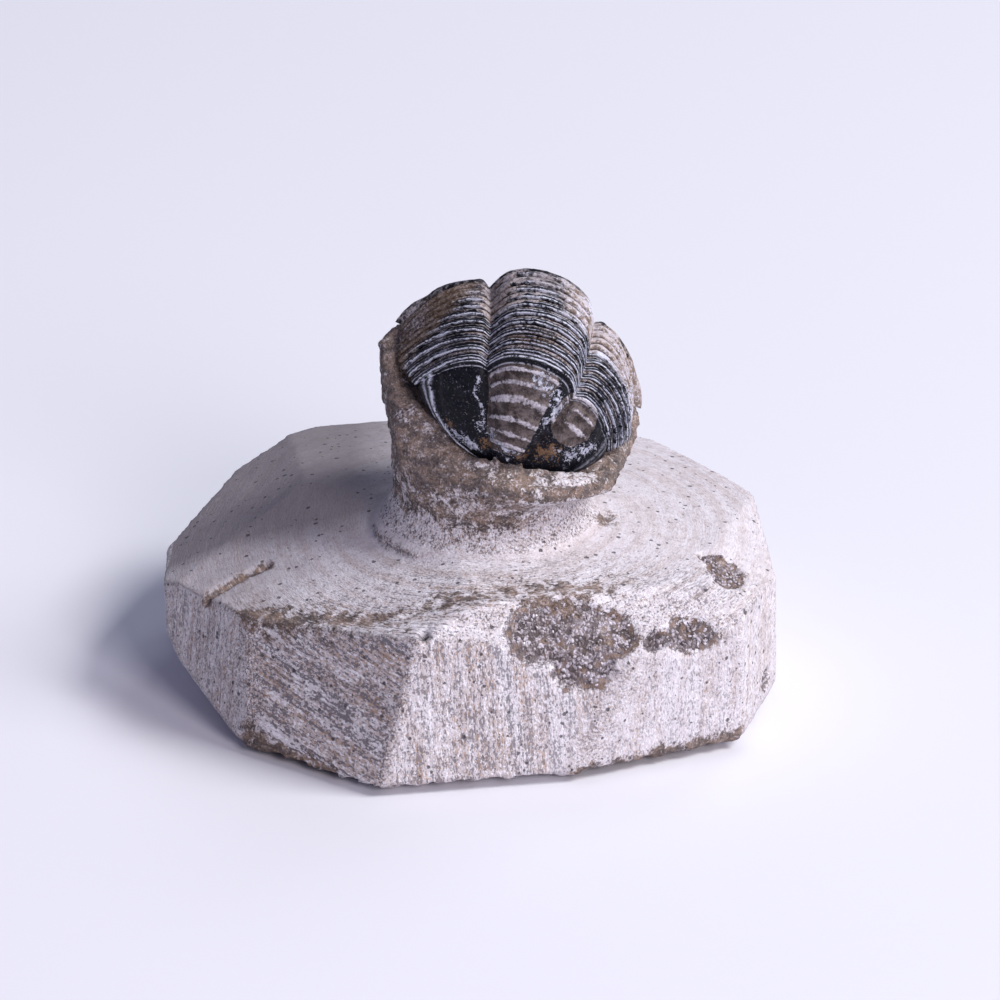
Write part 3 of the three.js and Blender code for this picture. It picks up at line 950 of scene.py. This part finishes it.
# painted shade: the top's left half is darkened, above all behind the neck where the fossil's shadow falls
# and at the far left, and the side facets a little, the left one most
behind = ramp(y_mm, -7.0, 6.0) * 0.95
far_left = ramp(x_mm, -13.0, -6.0) * 0.52
painted_shade = ramp(x_mm, -2.0, -9.0) * ramp(z_mm, 21.0, -4.0)
painted_shade = painted_shade * np.where(nearest >= TOP, np.maximum(behind, far_left), np.where(nearest == 0, 0.28, 0.10))
for label, mask in {"stain": faced, "scored": scored, "painted_shade": painted_shade}.items():
    add_attribute(block.data, label, mask)
print("dull vertices:", int((painted_shade > 0.3).sum()), "deeply scored:", int((scored > 0.7).sum()))

# %% [markdown]
# ### Displacement
# A second Geometry Nodes tree moves the block's surface: shallow waves that a hand-held grinder leaves,
# fine scratches, hollows with crystal faces where the stone broke, and crumbs along the brown edges. A
# bump would do for the scratches, but hollows and crumbs have to break the outline. So the tree moves
# points along their normals by a depth in millimetres, and it never lets one sink below the floor.

# %% The weathering tree
weathering_sizes = {
    "Waves": 0.20, "Scratches": 0.07, "Hollow": 0.60, "Crystals": 0.65, "Crumbs": 0.5, "Dent": 0.6,
    "Undercut": 2.2, "Undercut height": 1.15,
}
tree, given = geometry_tree("weathering", weathering_sizes)
meters = tree.node("GeometryNodeInputPosition")
place = tree.scaled(meters, 1 / MM)
scratch = named(tree, "scratch", "FLOAT_VECTOR")
waves = (tree.noise(place, 0.22, 3.0, 0.55) - 0.5) * 2 * given["Waves"]
streaks = tree.noise(tree.stretched(scratch, (1.5, 0.16, 1.0)), 1.0, 2.0, 0.6)
scored = (streaks - 0.5) * 2 * given["Scratches"]
medium = tree.noise(place, 0.75, 4.0, 0.65)
edge = named(tree, "broken") + (medium - 0.5) * 0.8
hollow = tree.fade(edge, 0.30, 0.75)
facets = tree.parts(tree.cells(place, 0.85, output=1))[0]
crystals = (facets * 0.55 + medium * 0.7 - 0.6) * given["Crystals"]
crumbly = tree.fade(named(tree, "brown") + (medium - 0.5) * 0.7, 0.35, 0.8)
crumbs = (medium - 0.62) * 2 * given["Crumbs"]
sunk = hollow * (crystals - given["Hollow"]) + crumbly * crumbs - named(tree, "dent") * given["Dent"]
moved = waves + scored * (1 - hollow) + sunk
offset = tree.scaled(tree.node("GeometryNodeInputNormal"), moved * MM)
print("weathering depths in mm:", weathering_sizes)

# %% Undercut and floor
# the lower edge is undercut, so the block throws a thin dark shadow under itself
x_mm, y_mm, z_mm = tree.parts(place)
radius = (x_mm * x_mm + y_mm * y_mm) ** 0.5
low = tree.fade(z_mm + (medium - 0.5) * 1.5, given["Undercut height"], 0.1) * tree.fade(radius, 14.0, 21.0)
inwards = low * given["Undercut"] * -1 / radius
pulled = tree.joined(x_mm * inwards * MM, y_mm * inwards * MM, 0.0)
x, y, z = tree.parts(tree.vectors("ADD", tree.vectors("ADD", meters, offset), pulled))
resting = tree.joined(x, y, tree.most(z, 0.0))
moved_points = {"Geometry": tree.node("NodeGroupInput"), "Position": resting}
end_tree(tree, tree.node("GeometryNodeSetPosition", None, moved_points), limestone)
frozen(block, tree, weathering_sizes)
for polygon in block.data.polygons:
    polygon.use_smooth = True
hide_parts("limestone_matrix")
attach(block, "root")

# %% [markdown]
# ## The shell's finishes
# The shell is black calcite with a satin face. Where the preparator's needle and the weather took its
# skin off it is brown, with pale stripes on the high places, and chalky grey remains fill its furrows.
# The three kinds of plate differ in their marks but share one start, the black ground with its noises,
# and one end. The plates carry facts for the finish: `relief`, `share` and `step` along the body, `out`
# from the furrow to the tip, and `side`, negative on the left.

# %% Shell colours
BLACK = colour(0.0036, 0.0040, 0.0070)
BLACK_GREY = colour(0.011, 0.012, 0.021)
EDGE_GREY = colour(0.31, 0.33, 0.42)
WORN_DARK = colour(0.034, 0.027, 0.027)
WORN_BROWN = colour(0.115, 0.088, 0.080)
WORN_PALE = colour(0.42, 0.385, 0.42)
CHALK = colour(0.62, 0.64, 0.75)
CREAM = colour(0.52, 0.465, 0.48)
TAN = colour(0.21, 0.160, 0.130)
ORANGE = colour(0.20, 0.115, 0.065)
GAP_BROWN = colour(0.105, 0.066, 0.042)
STRIPE_PALE = colour(0.54, 0.51, 0.57)
print("shell colours, linear light: black", BLACK[:3], "chalk", CHALK[:3])


# %% Start and end of a shell finish
SHELL_GLOSS = 0.14


def shell_start(name):
    """A shell material up to its black ground, with the facts and noises that its marks use."""
    material, tree, shader = new_material(name)
    place = place_in_mm(tree)
    facts = {label: attribute(tree, label) for label in ("relief", "share", "step", "out", "side")}
    facts["fine"] = tree.noise(place, 4.2, 3.0, 0.7)
    facts["medium"] = tree.noise(place, 1.1, 4.0, 0.62)
    facts["broad"] = tree.noise(place, 0.33, 3.0, 0.5)
    facts["place"] = place
    grey_share = tree.fade(facts["fine"] * 0.6 + facts["medium"] * 0.4, 0.44, 0.68)
    return material, tree, shader, facts, mixed(tree, grey_share, BLACK, BLACK_GREY)


def shell_end(tree, shader, facts, shell_colour, crust, worn):
    """Feeds the shader: crust is rough and thick, worn shell is dull, and bare shell is satin."""
    tree.feed(shader.inputs["Base Color"], shell_colour)
    shader.inputs["Specular IOR Level"].default_value = SHELL_GLOSS
    rough = 0.34 + facts["medium"] * 0.16 + worn * 0.20
    tree.feed(shader.inputs["Roughness"], tree.between(rough, 0.92 + rough * 0, crust))
    height = facts["fine"] * 0.5 + facts["medium"] * 0.5 + crust * (0.6 + facts["fine"])
    tree.feed(shader.inputs["Normal"], bumped(tree, height, 0.09))


print("shell helpers are ready")

# %% [markdown]
# ### The thorax's finish
# Each ring's edges carry a broken grey line, partly rubbed wear and partly painted highlight where light
# catches them, and brown stone is left in the gaps between rings.
# All ten rings share one finish, because `step` runs from 0 to 1 on each of them and `share` runs over
# the whole body. With `share` the upper rings can be weathered, and the low side can keep its coat of
# pale stone.

# %% Rings' edges and gaps
thorax_finish, tree, shader, facts, shell_colour = shell_start("thorax shell")
place, fine, medium, broad = facts["place"], facts["fine"], facts["medium"], facts["broad"]
step, side, share = facts["step"], facts["side"], facts["share"]
wander = step + (medium - 0.5) * 0.36
# the grey lines along the rings' edges: partly rubbed wear, partly painted highlight
edge = tree.hump(wander, 0.07, 0.07) + tree.hump(wander, 0.42, 0.045) * 0.8 + tree.hump(wander, 0.94, 0.07)
worn_and_lit = tree.fade(fine * 0.55 + medium * 0.3 + broad * 0.25, 0.46, 0.57)
line_tone = mixed(tree, tree.fade(broad * 0.5 + fine * 0.5, 0.42, 0.56), EDGE_GREY, CHALK)
shell_colour = mixed(tree, tree.least(edge * worn_and_lit * 1.2, 1.0), shell_colour, line_tone)
scuffed = tree.fade(fine * 0.5 + broad * 0.6, 0.58, 0.70) * tree.fade(medium, 0.45, 0.6)
shell_colour = mixed(tree, scuffed * 0.7, shell_colour, EDGE_GREY)
# brown remains in the gaps between the rings
gap = tree.fade(step + (medium - 0.5) * 0.7, 0.60, 0.90) * tree.fade(broad + fine * 0.4, 0.56, 0.72)
gap_tone = mixed(tree, tree.fade(fine, 0.42, 0.6), GAP_BROWN, WORN_PALE)
shell_colour = mixed(tree, gap * 0.9, shell_colour, gap_tone)
print("edges and gaps, nodes:", len(thorax_finish.node_tree.nodes))

# %% Stone left on the upper rings
# in the furrow and between the rings
upper = tree.fade(share, 0.36, 0.58)
in_furrow = tree.hump(side, -4.6, 1.7) + tree.hump(side, -1.5, 2.2) * 0.5
packed = in_furrow * upper * 0.85 + (medium - 0.5) * 1.3 + (step - 0.5) * 0.4
left_stone = tree.fade(packed, 0.40, 0.62)
stone_tone = mixed(tree, tree.fade(fine * 0.6 + medium * 0.4, 0.40, 0.6), TAN, CREAM)
shell_colour = mixed(tree, left_stone * 0.9, shell_colour, stone_tone)
# the uppermost rings are weathered grey and brown all the way across
weathered = tree.fade(share + (medium - 0.5) * 0.35, 0.68, 0.86)
weathered_tone = mixed(tree, tree.fade(fine * 0.5 + medium * 0.5, 0.42, 0.60), WORN_BROWN, WORN_PALE)
weathered = weathered * tree.fade(medium * 0.5 + broad * 0.5, 0.40, 0.54)
shell_colour = mixed(tree, weathered * 0.85, shell_colour, weathered_tone)
# brown stone still clings to the high side's edge
high_edge = tree.fade(share * 6.0 - side + (medium - 0.5) * 4.0, 10.8, 12.4)
edge_tone = mixed(tree, tree.fade(fine * 0.5 + medium * 0.5, 0.42, 0.60), GAP_BROWN, TAN)
edge_tone = mixed(tree, tree.fade(fine * 0.7 + broad * 0.3, 0.54, 0.64), edge_tone, WORN_PALE)
shell_colour = mixed(tree, high_edge * 0.9, shell_colour, edge_tone)
# on the low side the rings are still under a coat of pale stone
coat = tree.fade(share + (broad - 0.5) * 0.20 + (medium - 0.5) * 0.16, 0.49, 0.57)
coat = coat * tree.fade(side + (medium - 0.5) * 3.5, 0.0, 2.0)
hollows_between = tree.fade(medium * 0.6 + fine * 0.4 + (step - 0.5) * 0.14, 0.38, 0.50)
coat_tone = mixed(tree, hollows_between, TAN, CREAM)
coat_tone = mixed(tree, tree.fade(broad * 0.5 + fine * 0.5, 0.48, 0.58), coat_tone, CHALK)
coat_tone = mixed(tree, tree.fade(medium * 0.7 + fine * 0.3, 0.60, 0.68), coat_tone, WORN_BROWN)
shell_colour = mixed(tree, coat, shell_colour, coat_tone)
# golden crumbs on one ring
golden_place = tree.fade(tree.near(place, (5.9, -10.4, 37.0), (3.0, 1.8, 0.9)), 1.0, 0.5)
gold = golden_place * tree.fade(fine, 0.50, 0.58)
shell_colour = mixed(tree, gold * 0.7, shell_colour, ORANGE)
crust = tree.most(tree.most(coat, left_stone), high_edge)
shell_end(tree, shader, facts, shell_colour, crust, tree.most(gap, weathered))
print("thorax finish, nodes:", len(thorax_finish.node_tree.nodes))

# %% [markdown]
# ### The tail's finish
# The tail shield is the best preserved plate: black and satin, with its raised axis worn brown. Its
# stripes follow the real relief, because the tree stores `relief` for the finish to read. Chalk fills
# thin veins that run between a few given points, and noise breaks them up so that they don't read as
# drawn lines.

# %% Worn axis and pale edges
tail_finish, tree, shader, facts, shell_colour = shell_start("tail shell")
place, fine, medium, broad = facts["place"], facts["fine"], facts["medium"], facts["broad"]
share, side, out, relief = facts["share"], facts["side"], facts["out"], facts["relief"]
on_axis = tree.fade(out, 0.06, 0.0)
in_middle = tree.fade(side + share * 1.0, -4.2, -3.4) * tree.fade(side + share * 1.6, 2.6, 1.8)
axis_worn = on_axis * in_middle * tree.fade(share, 0.05, 0.09) * tree.fade(share, 0.78, 0.68)
right_field = tree.fade(tree.near(place, (9.4, -11.2, 29.4), (2.3, 2.6, 2.7)), 1.15, 0.75)
worn = tree.most(axis_worn, right_field)
worn = tree.fade(worn + (medium - 0.5) * 0.8, 0.4, 0.6)
stripes = tree.fade(relief + (medium - 0.5) * 0.12 + (fine - 0.5) * 0.10, 0.07, 0.12)
worn_tone = mixed(tree, tree.fade(fine * 0.5 + medium * 0.5, 0.4, 0.6), WORN_DARK, WORN_BROWN)
pale_scuff = tree.fade(fine * 0.6 + broad * 0.4, 0.40, 0.60)
worn_tone = mixed(tree, tree.fade(medium, 0.40, 0.62) * 0.10, worn_tone, WORN_PALE)
worn_tone = mixed(tree, stripes * (0.35 + pale_scuff * 0.65), worn_tone, STRIPE_PALE)
specks = tree.fade(tree.noise(place, 5.5, 2.0, 0.7) + medium * 0.25, 0.75, 0.83)
shell_colour = mixed(tree, specks * 0.35, shell_colour, WORN_PALE)
shell_colour = mixed(tree, worn, shell_colour, worn_tone)
# pale edge lines: along the front edge and along the border
front_line = tree.hump(share + (medium - 0.5) * 0.02, 0.016, 0.007) + tree.hump(share, 0.070, 0.006) * 0.7
wavy_rim = attribute(tree, "rim") + (medium - 0.5) * 0.03
border_line = tree.hump(wavy_rim, 0.925, 0.010) + tree.hump(wavy_rim, 0.965, 0.009) * 0.9
border_line = border_line * (0.25 + tree.fade(side, 1.0, -1.0) * 0.75)
pale_line = tree.least(front_line + border_line, 1.0) * tree.fade(fine * 0.55 + medium * 0.6, 0.47, 0.60)
shell_colour = mixed(tree, pale_line, shell_colour, CHALK)
print("worn axis and edges, nodes:", len(tail_finish.node_tree.nodes))

# %% Chalk and rust
# each vein is a start, an end and a reach, in millimetres
VEINS = [
    ((6.3, -12.7, 33.9), (8.0, -11.7, 31.0), 0.55),
    ((8.0, -11.7, 31.0), (6.9, -12.2, 29.8), 0.5),
    ((6.9, -12.2, 29.8), (3.5, -11.6, 25.9), 0.25),
    ((1.0, -10.9, 33.1), (0.5, -11.0, 31.9), 0.20),
    ((0.5, -11.0, 31.9), (1.3, -11.2, 30.6), 0.12),
    ((1.3, -11.2, 30.6), (1.4, -11.2, 28.9), 0.18),
    ((1.1, -11.1, 28.9), (3.5, -12.0, 27.0), 0.35),
    ((-1.9, -9.5, 28.0), (0.4, -10.4, 26.6), 0.4),
    ((-0.2, -10.5, 27.6), (0.9, -10.9, 26.4), 0.3),
    ((5.5, -12.3, 30.6), (8.9, -11.4, 29.9), 0.25),
    ((9.0, -10.6, 26.0), (10.9, -9.9, 26.1), 0.6),
    ((7.6, -11.0, 26.6), (9.2, -10.6, 26.1), 0.25),
]
RUSTY = [
    ((7.0, -11.3, 26.4), 1.1),
    ((1.5, -10.9, 27.1), 0.6),
    ((-1.6, -9.8, 28.4), 0.5),
    ((5.0, -11.8, 26.0), 0.7),
]
veins = tree.near_line(place, VEINS[0][0], VEINS[0][1]) / VEINS[0][2]
for start, end, reach in VEINS[1:]:
    veins = tree.least(veins, tree.near_line(place, start, end) / reach)
scraps = tree.noise(place, 2.2, 4.0, 0.8)
chalk = tree.fade(veins + (medium - 0.5) * 3.4 + (scraps - 0.5) * 8.0, 0.85, 0.4)
dusting = tree.fade(scraps * 0.8 + medium * 0.3, 0.65, 0.72) * tree.fade(veins, 4.0, 1.2)
chalk = tree.most(chalk, dusting * (1 - worn * 0.7))
chalk_tone = mixed(tree, tree.fade(fine, 0.35, 0.6), EDGE_GREY, CHALK)
shell_colour = mixed(tree, chalk * 0.9, shell_colour, chalk_tone)
rusty = tree.near(place, RUSTY[0][0], (RUSTY[0][1],) * 3)
for middle, reach in RUSTY[1:]:
    rusty = tree.least(rusty, tree.near(place, middle, (reach,) * 3))
rust = tree.fade(rusty + (scraps - 0.5) * 7.0 + (fine - 0.5) * 3.0, 0.8, 0.3)
shell_colour = mixed(tree, rust * 0.75, shell_colour, ORANGE)
shell_end(tree, shader, facts, shell_colour, chalk, worn)
print("tail finish:", len(VEINS), "veins and", len(RUSTY), "rusty spots")

# %% [markdown]
# ### The head's finish
# The head keeps most of its stone. It is dulled to a grey brown, and a patchy coat of pale stone is left
# on it. The same two marks as on the thorax are enough here, with no edge lines: nothing on it was
# rubbed, and no highlight is painted on it.

# %% Head finish
head_finish, tree, shader, facts, shell_colour = shell_start("head shell")
fine, medium, broad = facts["fine"], facts["medium"], facts["broad"]
dulled = mixed(tree, tree.fade(fine * 0.5 + medium * 0.5, 0.42, 0.62), WORN_DARK, WORN_PALE)
shell_colour = mixed(tree, tree.fade(broad * 0.6 + medium * 0.4, 0.42, 0.54) * 0.85, shell_colour, dulled)
coat = tree.fade(facts["side"] * 0.05 + (medium - 0.5) * 1.4 + (broad - 0.5) * 1.6 + 0.3, 0.42, 0.62)
coat_tone = mixed(tree, tree.fade(medium * 0.6 + fine * 0.4, 0.42, 0.6), TAN, CREAM)
coat_tone = mixed(tree, tree.fade(fine * 0.7 + broad * 0.3, 0.54, 0.66), coat_tone, CHALK)
shell_colour = mixed(tree, coat * 0.9, shell_colour, coat_tone)
shell_end(tree, shader, facts, shell_colour, coat, coat)
print("shell finishes:", [m.name for m in (thorax_finish, tail_finish, head_finish)])

# %% [markdown]
# ## Relief of the plates
# Each kind of plate has its own relief on top of the common bend. A relief is a height in millimetres,
# worked out from the plate's own facts, so it bends with the plate. A thorax ring has a raised back edge,
# a furrow along each side lobe and one across the middle. All ten rings come from one tree. Each ring's
# first and last share of the body leave a narrow seam to the next ring, and its own seed wears it
# differently.


# %% Thorax rings
WANDER = 0.004


def ring_relief(tree, facts):
    step, out, is_side = facts["step"], facts["out"], facts["is_side"]
    rise = (1 - step) * 0.22 - 0.08 + tree.maths("SINE", step * math.pi) * 0.16
    side_furrow = tree.hump(step, 0.52, 0.13) * 0.17 * tree.fade(out, 0.02, 0.2) * tree.fade(out, 0.98, 0.8)
    middle_furrow = tree.hump(step, 0.74, 0.11) * 0.15 * (1 - is_side)
    seeded = tree.vectors("ADD", facts["place"], tree.joined(facts["seed"] * 13, 0.0, 0.0))
    worn = (tree.noise(seeded, 0.9, 3.0) - 0.5) * 0.26 + (tree.noise(seeded, 2.6, 3.0) - 0.5) * 0.16
    return rise - side_furrow - middle_furrow + worn


ring_tree = bent_plate_tree("thorax ring", ring_relief, thorax_finish, {**THORAX, "Wander": WANDER})
SEAM = 0.07
rings = []
for number in range(SEGMENTS):
    # rings are counted from the head, as in life
    name = f"thorax_ring_{SEGMENTS - number:02d}"
    sizes = {**THORAX, "First": (number + SEAM) / SEGMENTS, "Last": (number + 1 - SEAM) / SEGMENTS}
    sizes.update({"Steps across": 260, "Steps along": 14})
    ring = frozen(new_object(name), ring_tree, {**sizes, "Seed": number * 1.7, "Wander": WANDER})
    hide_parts(f"thorax_segment_{SEGMENTS - number:02d}")
    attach(ring, "root")
    rings.append(ring)

# %% [markdown]
# ### The tail shield's relief
# The tail shield is rings and ribs grown together, inside a smooth border. Both are sine waves of
# `share`: rings across the axis, and slanted ribs on the sides, which fade towards the tip and the
# border. On the left the ribs are worn almost flat.


# %% Tail shield
def tail_relief(tree, facts):
    share, out, is_side, x = facts["share"], facts["out"], facts["is_side"], facts["x"]
    rim = tree.size(facts["across"])
    rings = tree.maths("SINE", (share * 9.6 + 0.1) * (2 * math.pi)) * 0.10 + 0.03
    rings = rings * (1 - is_side) * tree.fade(share, 0.88, 0.74)
    ribs = tree.maths("SINE", (share * 7.5 - out * 0.4) * (2 * math.pi)) * 0.12
    right = tree.fade(x, 3.0, 5.0)
    ribs = ribs * is_side * tree.fade(out, 0.75, 0.5) * (0.12 + right * 0.88) * tree.fade(share, 0.75, 0.55)
    border = tree.hump(rim, 0.88, 0.025) * -0.18 + tree.hump(rim, 0.94, 0.03) * 0.10
    border = border * tree.fade(share, 0.97, 0.9)
    front = tree.hump(share, 0.02, 0.02) * 0.12 - tree.hump(share, 0.075, 0.018) * 0.10
    place = facts["place"]
    worn = (tree.noise(place, 0.8, 3.0) - 0.5) * 0.22 + (tree.noise(place, 2.6, 3.0) - 0.5) * 0.11
    return rings + ribs + border + front + worn


tail_tree = bent_plate_tree("tail shield", tail_relief, tail_finish, {**TAIL, "Wander": 0.0})
sizes = {**TAIL, "First": 1.0, "Last": 0.0, "Seed": 3.0, "Wander": 0.0}
sizes.update({"Steps across": 240, "Steps along": 170})
tail = frozen(new_object("tail_shield"), tail_tree, sizes)
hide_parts("pygidium")
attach(tail, "root")

# %% [markdown]
# ### The head shield's relief
# The head has a raised middle lobe, the glabella, with a ring behind it and a border round the front.
# Narrow furrows are humps with a negative height, which is simpler than cutting them and keeps the mesh
# whole.


# %% Head shield
def head_relief(tree, facts):
    share, out, is_side = facts["share"], facts["out"], facts["is_side"]
    rim = tree.size(facts["across"])
    ring = tree.hump(share, 0.10, 0.018) * -0.28 + tree.hump(share, 0.05, 0.04) * 0.12
    lobes = tree.hump(share, 0.24, 0.02) * -0.10 + tree.hump(share, 0.38, 0.02) * -0.08
    lobes = lobes * (1 - is_side) * tree.fade(tree.size(facts["x"]), 1.2, 2.6)
    border = tree.hump(rim, 0.86, 0.03) * -0.22 + tree.hump(rim, 0.95, 0.05) * 0.12
    border = border * tree.fade(share, 0.10, 0.2)
    front = tree.hump(share, 0.955, 0.012) * -0.2
    place = facts["place"]
    worn = (tree.noise(place, 0.6, 3.0) - 0.5) * 0.22 + (tree.noise(place, 2.6, 3.0) - 0.5) * 0.09
    return ring + lobes + border + front + worn


head_tree = bent_plate_tree("head shield", head_relief, head_finish, {**HEAD, "Wander": 0.0})
sizes = {**HEAD, "First": 0.0, "Last": 1.0, "Seed": 5.0, "Wander": 0.0}
sizes.update({"Steps across": 250, "Steps along": 190})
head = frozen(new_object("head_shield"), head_tree, sizes)
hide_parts("cephalon")
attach(head, "root")

# %% [markdown]
# ## The eyes
# A rolled trilobite of this kind has two raised compound eyes, each a short lobe with rows of separate
# lenses. One tree makes an eye: a flattened sphere, and on the rows round its middle small spheres as
# lenses. The rows come from the points of a second sphere, kept only where they are close to its waist.

# %% Eyes
EYE_RADIUS = 1.1
EYE_SEATS = {"left": (-6.15, 5.25, 8.45), "right": (5.35, 5.25, 8.45)}
eye_sizes = {"Radius": EYE_RADIUS * MM, "Lens": 0.10 * MM, "Lobe turns": 32, "Rows": 17, "Lenses round": 26}
tree, given = geometry_tree("compound eye", eye_sizes)
lobe_steps = {"Segments": given["Lobe turns"], "Rings": 16, "Radius": given["Radius"]}
lobe = tree.node("GeometryNodeMeshUVSphere", None, lobe_steps)
row_steps = {"Segments": given["Lenses round"], "Rings": given["Rows"], "Radius": given["Radius"]}
row_points = tree.node("GeometryNodeMeshUVSphere", None, row_steps)
lens = tree.node("GeometryNodeMeshIcoSphere", None, {"Radius": given["Lens"], "Subdivisions": 2})
height = tree.parts(tree.node("GeometryNodeInputPosition"))[2]
in_band = tree.size(height) < given["Radius"] * 0.62
on_rows = {"Points": row_points, "Selection": in_band, "Instance": lens}
copies = tree.node("GeometryNodeInstanceOnPoints", None, on_rows)
lenses = tree.node("GeometryNodeRealizeInstances", None, {0: copies})
joined_eye = tree.node("GeometryNodeJoinGeometry", output=None)
for part in (lobe, lenses):
    tree.feed(joined_eye.inputs[0], part)
flattened = {"Geometry": Flow(tree, joined_eye.outputs[0]), "Scale": (0.75, 1.0, 1.0)}
end_tree(tree, tree.node("GeometryNodeTransform", None, flattened), head_finish)
eyes = []
for side, seat in EYE_SEATS.items():
    eye = frozen(new_object("eye_" + side), tree)
    turn = FOSSIL_TURN.to_matrix()
    for vertex in eye.data.vertices:
        vertex.co = (FOSSIL_AT + turn @ Vector(seat)) * MM + turn @ vertex.co
    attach(eye, "root")
    eyes.append(eye)

# %% [markdown]
# ## Crystals in the broken places
# A break through limestone shows the faces of calcite crystals, which glint. A last tree scatters small
# twenty-sided grains where the block's `broken` attribute is high. A copy of the block is its input, and
# the scatter has a fixed seed, so each run gives the same grains.

# %% Crystal grains
grain_finish, tree, shader = new_material("calcite grains")
tone = tree.noise(place_in_mm(tree), 1.3, 2.0)
tree.feed(shader.inputs["Base Color"], mixed(tree, tree.fade(tone, 0.40, 0.62), BREAK_MID, BREAK_LIGHT))
shader.inputs["Roughness"].default_value = 0.28
tree, given = geometry_tree("grains", {"Grain": 0.21 * MM, "Per square metre": 5.0e6, "Seed": 7})
chosen = named(tree, "broken") > 0.62
spots = {"Mesh": given["Geometry"], "Selection": chosen, "Density": given["Per square metre"]}
scatter = tree.node("GeometryNodeDistributePointsOnFaces", None, {**spots, "Seed": given["Seed"]}, None)
grain = tree.node("GeometryNodeMeshIcoSphere", None, {"Radius": given["Grain"], "Subdivisions": 1})
spin_range = {0: (0.0, 0.0, 0.0), 1: (6.28, 6.28, 6.28), "Seed": 11}
spin = tree.node("FunctionNodeRandomValue", {"data_type": "FLOAT_VECTOR"}, spin_range)
size_range = {0: (0.45, 0.45, 0.3), 1: (1.5, 1.2, 0.9), "Seed": 12}
size = tree.node("FunctionNodeRandomValue", {"data_type": "FLOAT_VECTOR"}, size_range)
placed = {"Points": Flow(tree, scatter.outputs[0]), "Instance": grain, "Rotation": spin, "Scale": size}
end_tree(tree, tree.node("GeometryNodeInstanceOnPoints", None, placed), grain_finish)
grains = frozen(new_object("calcite_grains", block.data.copy()), tree)
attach(grains, "root")

# %% [markdown]
# ## Finish
# The faces of the block, the shell's plates and the eyes are shaded smooth, since the meshes are fine
# enough to carry their own edges.

# %% Finish
for piece in [block, tail, head, *rings, *eyes]:
    for polygon in piece.data.polygons:
        polygon.use_smooth = True
